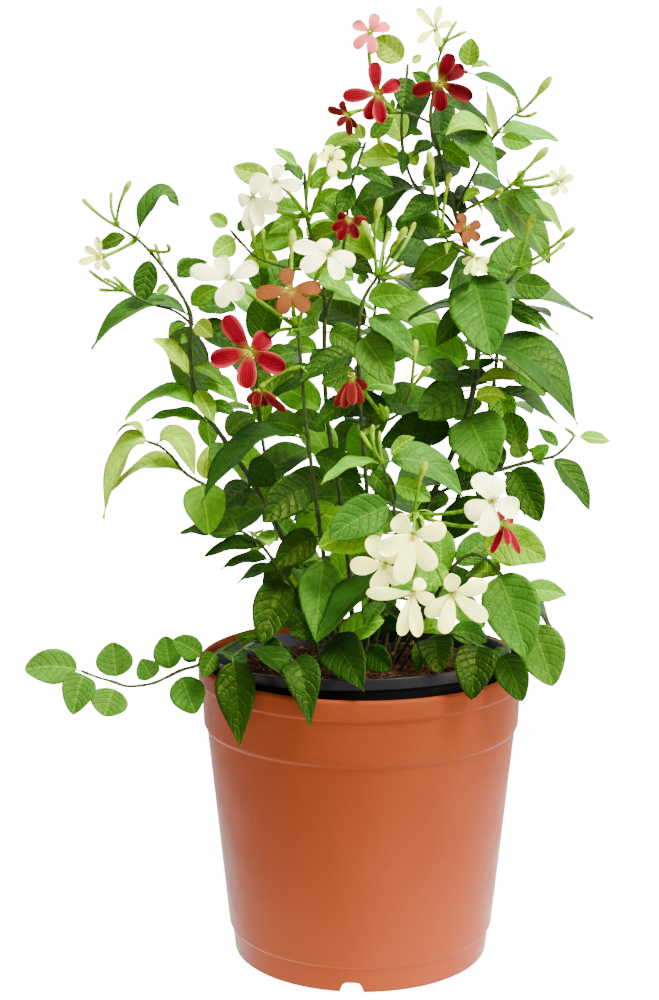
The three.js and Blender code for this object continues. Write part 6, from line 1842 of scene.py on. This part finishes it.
INNER_PROFILE = [
    (1, 0), (INNER_BASE_RADIUS, 0), (91.2, INNER_LIP_FOOT), (93.6, INNER_LIP_FOOT + 1),
    (INNER_RIM_RADIUS, INNER_HEIGHT), (91.6, INNER_HEIGHT), (INNER_MOUTH_RADIUS, INNER_LIP_FOOT),
    (INNER_BASE_RADIUS - INNER_WALL, INNER_FLOOR), (1, INNER_FLOOR),
]


def leaned(places):
    """Places of what is made upright, leaned as the nursery pot stands in the outer pot."""
    upright = np.array([0.0, 0.0, 1.0])
    axis = np.cross(upright, INNER_AXIS)
    sine = np.linalg.norm(axis)
    cosine = INNER_AXIS[2]
    axis = axis / sine
    across = np.cross(axis, places)
    turned = places * cosine + across * sine + (places @ axis)[:, None] * axis * (1 - cosine)
    return turned + INNER_RIM - INNER_AXIS * INNER_HEIGHT


def as_made(places):
    return places


# The soil's top: its rings and sides, where it meets the pot, and its grains as noise, with how deep,
# how wide and the seed. Its wide lumps fade before the edge, and some of the grain stays.
SOIL_RINGS = 90
SOIL_SIDES = 240
SOIL_TOP = INNER_HEIGHT - SOIL_BELOW_RIM
SOIL_BOTTOM = INNER_FLOOR + GAP
SOIL_FOOT = INNER_BASE_RADIUS - INNER_WALL
SOIL_SLOPE = (INNER_MOUTH_RADIUS - SOIL_FOOT) / (INNER_LIP_FOOT - INNER_FLOOR)
SOIL_EDGE = SOIL_FOOT + SOIL_SLOPE * (SOIL_TOP - INNER_FLOOR) - 2 * GAP
SOIL_GRAINS = [(0.9, 6.0, 1), (0.6, 2.6, 2), (0.3, 1.3, 3)]
FADING_GRAIN = 0.8
LASTING_GRAIN = 0.4
LUMPS_FADE_FROM = 0.85
SOIL_DARK = np.array([0.014, 0.0065, 0.004])
SOIL_BROWN = np.array([0.06, 0.023, 0.012])
SOIL_PALE = np.array([0.13, 0.07, 0.036])
SOIL_PATCH_SIZE = 4
SOIL_PATCH_SEED = 5
NOISE_CELLS = 64

# Crumbs of soil and bark, and bits of root
CRUMBS = 900
CRUMB_REACH = 0.96
CRUMB_SIZES = [(0.7, 2.4), (0.6, 1.8), (0.5, 1.3)]
CRUMB_RINGS = [(0.0, -1.0), (0.75, -0.6), (1.0, 0.0), (0.7, 0.7), (0.0, 1.0)]
CRUMB_SIDES = 7
CRUMB_ROUGHNESS = 0.22
BROWN_CHANCE = 0.8
ROOT_CHANCE = 0.14
ROOT_LENGTHS = (5, 14)
ROOT_RADII = (0.25, 0.6)
ROOT_TILTS = (-0.1, 0.2)
ROOT_BOWS = (-3, 3)
ROOT_RISE = 1.5
ROOT_ROWS = 6
ROOT_SIDES = 5
ROOT_FROM_EDGE = 1.5


def value_noise(x, y, size, seed):
    """Smooth noise from -1 to 1 over a plane, with lumps of the given size."""
    grid = np.random.default_rng(seed).uniform(-1, 1, (NOISE_CELLS, NOISE_CELLS))
    u = x / size
    v = y / size
    i = np.floor(u).astype(int)
    j = np.floor(v).astype(int)
    s = smooth_step(0, 1, u - i)
    t = smooth_step(0, 1, v - j)
    corner = [[grid[(i + a) % NOISE_CELLS, (j + b) % NOISE_CELLS] for b in (0, 1)] for a in (0, 1)]
    near = corner[0][0] * (1 - t) + corner[0][1] * t
    far = corner[1][0] * (1 - t) + corner[1][1] * t
    return near * (1 - s) + far * s


def soil_height(x, y):
    share = np.hypot(x, y) / SOIL_EDGE
    swell = np.sin(0.23 * x + 1) * np.cos(0.19 * y) + 0.6 * np.sin(0.41 * y - 0.3 * x)
    inner = 1 - smooth_step(LUMPS_FADE_FROM, 1, share)
    fine = sum(deep * value_noise(x, y, size, seed) for deep, size, seed in SOIL_GRAINS)
    dome = SOIL_TOP + SOIL_DOME * (1 - share**2)
    return dome + (SOIL_LUMP * swell + FADING_GRAIN * fine) * inner + LASTING_GRAIN * fine


def build_soil(material):
    soil = Surface()
    radii = SOIL_EDGE * np.sqrt(np.arange(1, SOIL_RINGS + 1) / SOIL_RINGS)
    top = turned_points([(radius, 0.0) for radius in radii], SOIL_SIDES)
    top[..., 2] = soil_height(top[..., 0], top[..., 1])
    wall = turned_points([(SOIL_FOOT - 2 * GAP, SOIL_BOTTOM)], SOIL_SIDES)[0]
    middles = [[0, 0, soil_height(0.0, 0.0)], [0, 0, SOIL_BOTTOM]]
    points = np.concatenate([top.reshape(-1, 3), wall, middles])
    lowest = len(points) - 1
    faces = grid_faces(SOIL_RINGS + 1, SOIL_SIDES, wrap=True, flip=True)
    faces += cap_faces(SOIL_SIDES, lowest, SOIL_RINGS * SOIL_SIDES, lowest - 1, 0)
    patches = value_noise(points[:, 0], points[:, 1], SOIL_PATCH_SIZE, SOIL_PATCH_SEED)
    soil.add(leaned(points), faces, mixed(SOIL_DARK, SOIL_BROWN, 0.5 + 0.5 * patches))
    for _ in range(CRUMBS):
        reach = SOIL_EDGE * CRUMB_REACH * math.sqrt(random.random())
        turn = random.uniform(0, 2 * np.pi)
        x = reach * math.cos(turn)
        y = reach * math.sin(turn)
        place = np.array([x, y, soil_height(x, y)])
        if random.random() < ROOT_CHANCE:
            add_root(soil, place)
        else:
            add_crumb(soil, place)
    soil.make("soil.crumbs", material, ["soil"])


def add_root(soil, place):
    """A bit of root that lies in a low bow on the surface."""
    heading = random.uniform(0, 2 * np.pi)
    along = np.array([math.cos(heading), math.sin(heading), random.uniform(*ROOT_TILTS)])
    length = random.uniform(*ROOT_LENGTHS)
    bow = np.array([-along[1], along[0], 0.0]) * random.uniform(*ROOT_BOWS)
    bend = place + along * length / 2 + bow + [0, 0, ROOT_RISE]
    path = arch(place, bend, place + along * length, np.linspace(0, 1, ROOT_ROWS))
    path = path[np.hypot(path[:, 0], path[:, 1]) < SOIL_EDGE - ROOT_FROM_EDGE]
    if len(path) > 2:
        radii = [random.uniform(*ROOT_RADII)] * len(path)
        add_tube(soil, leaned(path), radii, SOIL_PALE * random.uniform(0.5, 1), ROOT_SIDES)


def add_crumb(soil, place):
    """A lump of soil or bark that lies half sunk in the surface."""
    size = np.array([random.uniform(*sizes) for sizes in CRUMB_SIZES])
    points = turned_points(CRUMB_RINGS, CRUMB_SIDES).reshape(-1, 3) * size
    points = points * (1 + CRUMB_ROUGHNESS * random.standard_normal((len(points), 1)))
    for end in (slice(CRUMB_SIDES), slice(-CRUMB_SIDES, None)):
        points[end] = points[end].mean(axis=0)
    x, y = spun(points[:, 0], points[:, 1], random.uniform(0, 2 * np.pi))
    turned = np.column_stack([x, y, points[:, 2]])
    lighter = SOIL_BROWN if random.random() < BROWN_CHANCE else SOIL_PALE
    tint = mixed(SOIL_DARK, lighter, random.uniform(0.2, 1))
    soil.add(leaned(turned + place), grid_faces(len(CRUMB_RINGS), CRUMB_SIDES, wrap=True), tint)


class Nodes:
    """A node tree whose nodes are added and linked by short calls."""

    def __init__(self, tree):
        self.nodes = tree.nodes
        self.links = tree.links

    def put(self, value, socket):
        if isinstance(value, bpy.types.NodeSocket):
            self.links.new(value, socket)
        else:
            socket.default_value = value

    def sums(self, operation, *values):
        node = self.nodes.new("ShaderNodeMath")
        node.operation = operation
        for value, socket in zip(values, node.inputs):
            self.put(value, socket)
        return node.outputs[0]

    def scaled(self, value, factor):
        return self.sums("MULTIPLY", value, factor)

    def spread(self, value, low, high, to_low=0.0, to_high=1.0):
        node = self.nodes.new("ShaderNodeMapRange")
        node.interpolation_type = "SMOOTHSTEP"
        for entry, socket in zip((value, low, high, to_low, to_high), node.inputs):
            self.put(entry, socket)
        return node.outputs[0]

    def vector_sums(self, operation, first, second, output):
        node = self.nodes.new("ShaderNodeVectorMath")
        node.operation = operation
        self.put(first, node.inputs[0])
        self.put(second, node.inputs[1])
        return node.outputs[output]

    def place(self, kind="Object"):
        return self.nodes.new("ShaderNodeTexCoord").outputs[kind]

    def is_camera(self):
        return self.nodes.new("ShaderNodeLightPath").outputs["Is Camera Ray"]


class Shade(Nodes):
    """A node material of one kind of surface."""

    def __init__(self, name, roughness, specular, gloss_tint=(1, 1, 1)):
        self.material = bpy.data.materials.new(name)
        self.material.use_nodes = True
        super().__init__(self.material.node_tree)
        self.shader = self.nodes["Principled BSDF"]
        self.shader.inputs["Roughness"].default_value = roughness
        self.shader.inputs["Specular IOR Level"].default_value = specular
        self.shader.inputs["Specular Tint"].default_value = (*gloss_tint, 1)

    def attribute(self, name, output="Fac"):
        node = self.nodes.new("ShaderNodeAttribute")
        node.attribute_name = name
        return node.outputs[output]

    def noise(self, scale, detail=3.0):
        node = self.nodes.new("ShaderNodeTexNoise")
        node.inputs["Scale"].default_value = scale
        node.inputs["Detail"].default_value = detail
        self.put(self.place(), node.inputs["Vector"])
        return node.outputs["Fac"]

    def cells(self, scale):
        """The distance from the borders of irregular cells."""
        node = self.nodes.new("ShaderNodeTexVoronoi")
        node.feature = "DISTANCE_TO_EDGE"
        node.inputs["Scale"].default_value = scale
        self.put(self.place(), node.inputs["Vector"])
        return node.outputs["Distance"]

    def blend(self, share, first, second, how="MIX"):
        node = self.nodes.new("ShaderNodeMix")
        node.data_type = "RGBA"
        node.blend_type = how
        sockets = [socket for socket in node.inputs if socket.type == "RGBA"]
        self.put(share, node.inputs[0])
        self.put(first, sockets[0])
        self.put(second, sockets[1])
        return next(output for output in node.outputs if output.type == "RGBA")

    def filtered(self, tint, factors):
        """The colour with each of its parts multiplied."""
        return self.blend(1.0, tint, factors, "MULTIPLY")

    def grey(self, level):
        node = self.nodes.new("ShaderNodeCombineColor")
        for socket in node.inputs[:3]:
            self.put(level, socket)
        return node.outputs[0]

    def bump(self, height, distance, strength=1.0):
        node = self.nodes.new("ShaderNodeBump")
        node.inputs["Distance"].default_value = distance
        node.inputs["Strength"].default_value = strength
        self.put(height, node.inputs["Height"])
        self.put(node.outputs[0], self.shader.inputs["Normal"])

    def paint(self, value):
        self.put(value, self.shader.inputs["Base Color"])


# Paints with their opacity, and the factors that turn a colour into that of its midrib, bark patches,
# petal streaks or soil patches, or into painted shade along a leaf's sunken veins and fine creases
VEIN_SHADE_FACTORS = (0.3, 0.42, 0.3, 1)
MIDRIB_FACTORS = (2.2, 1.6, 1.3, 1)
BARK_FACTORS = (0.5, 0.42, 0.34, 1)
PETAL_FACTORS = (0.88, 0.84, 0.55, 1)
SOIL_FACTORS = (0.3, 0.26, 0.22, 1)
TERRACOTTA = (0.09, 0.0158, 0.0042, 1)
TERRACOTTA_LIGHT = (0.106, 0.0192, 0.0056, 1)
TERRACOTTA_SPECK = (0.06, 0.008, 0.0014, 1)
BLACK = (0.0022, 0.0022, 0.0021, 1)
DUST = (0.011, 0.009, 0.006, 1)
WHITE = (1.0, 1.0, 1.0, 1)


def leaf_shade():
    shade = Shade("leaf", roughness=0.4, specular=0.07, gloss_tint=(0.7, 1.0, 0.1))
    mottle = shade.spread(shade.noise(scale=60), low=0.3, high=0.7, to_low=0.8, to_high=1.15)
    base = shade.filtered(shade.attribute("tint", "Color"), shade.grey(mottle))
    vein = shade.scaled(shade.attribute("vein"), math.pi)
    ridge = shade.sums("ABSOLUTE", shade.sums("SINE", vein))
    net = shade.spread(shade.cells(scale=210), low=0.0, high=0.14)
    # Painted shade: the leaf darkens along its sunken side veins and along the net of fine creases, where
    # the bump sinks them too
    vein_shade = shade.scaled(shade.spread(ridge, low=0.0, high=0.2, to_low=1.0, to_high=0.0), 0.4)
    crease_shade = shade.scaled(shade.spread(net, low=0.0, high=0.6, to_low=1.0, to_high=0.0), 0.16)
    rib = shade.attribute("rib")
    is_blade = shade.spread(rib, low=NO_RIB - 0.4, high=NO_RIB - 0.1, to_low=1.0, to_high=0.0)
    lines = shade.scaled(shade.sums("MAXIMUM", vein_shade, crease_shade), is_blade)
    vein_shaded = shade.blend(lines, base, shade.filtered(base, VEIN_SHADE_FACTORS))
    is_midrib = shade.spread(rib, low=0.2, high=0.6, to_low=1.0, to_high=0.0)
    shade.paint(shade.blend(is_midrib, vein_shaded, shade.filtered(base, MIDRIB_FACTORS)))
    pores = shade.scaled(shade.noise(scale=900, detail=2.0), 0.15)
    height = shade.sums("ADD", shade.spread(ridge, low=0.0, high=0.6), pores)
    height = shade.sums("ADD", height, shade.scaled(net, 0.5))
    shade.bump(height, distance=0.0006, strength=0.55)
    return shade.material


def wood_shade():
    shade = Shade("stem", roughness=0.55, specular=0.06, gloss_tint=(0.9, 1.0, 0.5))
    tint = shade.attribute("tint", "Color")
    patches = shade.spread(shade.noise(scale=220, detail=4.0), low=0.4, high=0.7)
    shade.paint(shade.blend(patches, tint, shade.filtered(tint, BARK_FACTORS)))
    shade.bump(shade.noise(scale=700), distance=0.0004, strength=0.5)
    return shade.material


def petal_shade():
    shade = Shade("petal", roughness=0.55, specular=0.02)
    tint = shade.attribute("tint", "Color")
    lines = shade.sums("SINE", shade.scaled(shade.attribute("vein"), 2 * math.pi))
    deep = shade.filtered(tint, PETAL_FACTORS)
    paint = shade.blend(shade.spread(lines, low=0.2, high=1.0), tint, deep)
    patches = shade.spread(shade.noise(scale=180), low=0.35, high=0.75)
    shade.paint(shade.blend(patches, paint, deep))
    shade.bump(shade.sums("ADD", lines, shade.noise(scale=500)), distance=0.0003, strength=0.4)
    return shade.material


def terracotta_shade():
    shade = Shade("terracotta_plastic", roughness=0.5, specular=0.02, gloss_tint=(1.0, 0.7, 0.5))
    wide = shade.spread(shade.noise(scale=9, detail=2.0), low=0.3, high=0.7)
    paint = shade.blend(wide, TERRACOTTA, TERRACOTTA_LIGHT)
    specks = shade.spread(shade.noise(scale=420, detail=2.0), low=0.66, high=0.74)
    shade.paint(shade.blend(shade.scaled(specks, 0.35), paint, TERRACOTTA_SPECK))
    sheen = shade.spread(shade.noise(scale=40), low=0.2, high=0.8, to_low=0.4, to_high=0.52)
    shade.put(sheen, shade.shader.inputs["Roughness"])
    shade.bump(shade.noise(scale=1100, detail=2.0), distance=0.0002, strength=0.35)
    return shade.material


def black_shade():
    shade = Shade("black_plastic", roughness=0.4, specular=0.12)
    dusty = shade.spread(shade.noise(scale=70, detail=4.0), low=0.5, high=0.8)
    shade.paint(shade.blend(shade.scaled(dusty, 0.35), BLACK, DUST))
    shade.bump(shade.noise(scale=800, detail=2.0), distance=0.0002, strength=0.4)
    return shade.material


def soil_shade():
    shade = Shade("potting_mix", roughness=0.95, specular=0.02)
    tint = shade.attribute("tint", "Color")
    patches = shade.spread(shade.noise(scale=420, detail=5.0), low=0.35, high=0.65)
    shade.paint(shade.blend(patches, tint, shade.filtered(tint, SOIL_FACTORS)))
    shade.bump(shade.noise(scale=900, detail=6.0), distance=0.0012, strength=0.9)
    return shade.material


def build_pots():
    outer_cutters = notch_cutters() + drain_cutters(OUTER_DRAIN, FLOOR_UNDERSIDE, FLOOR_TOP)
    inner_cutters = drain_cutters(INNER_DRAIN, 0, INNER_FLOOR)
    turned_piece(
        "pot.outer", rounded(OUTER_PROFILE, OUTER_ROUNDING), outer_cutters, as_made,
        terracotta_shade(), "outer_pot",
    )
    turned_piece(
        "pot.nursery", rounded(INNER_PROFILE, INNER_ROUNDING), inner_cutters, leaned,
        black_shade(), "nursery_pot",
    )


# The room is white and brighter on the right. It and the floor look whiter than they light.
ROOM_LIGHT = 0.8
ROOM_BRIGHT_SIDE = 6.0
BRIGHT_FROM = (0.6, -0.15, 0.785)
BRIGHT_SPREAD = (0.2, 0.98)
ROOM_WHITE = 18.0
FLOOR_REACH = 30000
FLOOR_DROP = 0.4
FLOOR_GREYS = [(0.34, 0.34, 0.35, 1), (0.37, 0.37, 0.37, 1)]
FLOOR_GLOW = 14.0
FLOOR_BOUNCE = 7.0
FLOOR_BOUNCE_REACH = (0.12, 0.42)

# Each wide soft light: its name, where it comes from, its strength, its spread in degrees and its colour
SUNS = [
    ("key", (0.75, -0.7, 1.8), 19.0, 24, (1.0, 0.98, 0.92)),
    ("fill", (-1.0, -0.9, 0.7), 0.5, 50, (0.97, 0.98, 1.0)),
    ("right", (1.0, -0.25, 0.2), 7.0, 40, (1.0, 1.0, 1.0)),
]


def build_stage():
    corners = [(-1, -1, 0), (1, -1, 0), (1, 1, 0), (-1, 1, 0)]
    mesh = new_mesh("floor", np.array(corners) * FLOOR_REACH, [(0, 1, 2, 3)])
    floor = new_object("floor", mesh)
    floor.location.z = -FLOOR_DROP * MM
    shade = Shade("floor", roughness=0.9, specular=0.05)
    shade.paint(shade.blend(shade.noise(scale=2.0), *FLOOR_GREYS))
    shade.shader.inputs["Emission Color"].default_value = WHITE
    near, far = FLOOR_BOUNCE_REACH
    out = shade.vector_sums("LENGTH", shade.place(), (0, 0, 0), "Value")
    bounce = shade.spread(out, low=near, high=far, to_low=FLOOR_BOUNCE, to_high=0.0)
    is_camera = shade.is_camera()
    rest = shade.scaled(shade.sums("SUBTRACT", 1.0, is_camera), bounce)
    glow = shade.sums("ADD", shade.scaled(is_camera, FLOOR_GLOW), rest)
    shade.put(glow, shade.shader.inputs["Emission Strength"])
    mesh.materials.append(shade.material)


def build_room():
    world = bpy.data.worlds.new("studio")
    bpy.context.scene.world = world
    world.use_nodes = True
    room = Nodes(world.node_tree)
    toward = room.vector_sums("DOT_PRODUCT", room.place("Generated"), BRIGHT_FROM, "Value")
    level = room.spread(toward, *BRIGHT_SPREAD, to_low=ROOM_LIGHT, to_high=ROOM_BRIGHT_SIDE)
    soft = room.nodes["Background"]
    white = room.nodes.new("ShaderNodeBackground")
    for background, strength in ((soft, level), (white, ROOM_WHITE)):
        background.inputs["Color"].default_value = WHITE
        room.put(strength, background.inputs["Strength"])
    mix = room.nodes.new("ShaderNodeMixShader")
    for source, socket in zip((room.is_camera(), soft.outputs[0], white.outputs[0]), mix.inputs):
        room.put(source, socket)
    room.put(mix.outputs[0], room.nodes["World Output"].inputs["Surface"])


def build_suns():
    for name, (x, y, z), strength, spread, tint in SUNS:
        data = bpy.data.lights.new(name, "SUN")
        data.energy = strength
        data.angle = math.radians(spread)
        data.color = tint
        light = new_object(name, data)
        light.rotation_euler = (math.atan2(math.hypot(x, y), z), 0.0, math.atan2(x, -y))


CAMERA_PITCH = 10.6
CAMERA_YAW = 0.889
CAMERA_LENS = 75.4


def build_camera():
    data = bpy.data.cameras.new("camera")
    data.sensor_fit = "VERTICAL"
    data.sensor_height = 36.0
    data.lens = CAMERA_LENS
    data.clip_end = 100.0
    camera = new_object("camera", data)
    camera.location = EYE * MM
    camera.rotation_euler = (math.radians(90 - CAMERA_PITCH), 0.0, math.radians(CAMERA_YAW))
    bpy.context.scene.camera = camera


place_plant()
build_growths(leaf_shade(), wood_shade(), petal_shade())
build_pots()
build_soil(soil_shade())
build_stage()
build_room()
build_suns()
build_camera()
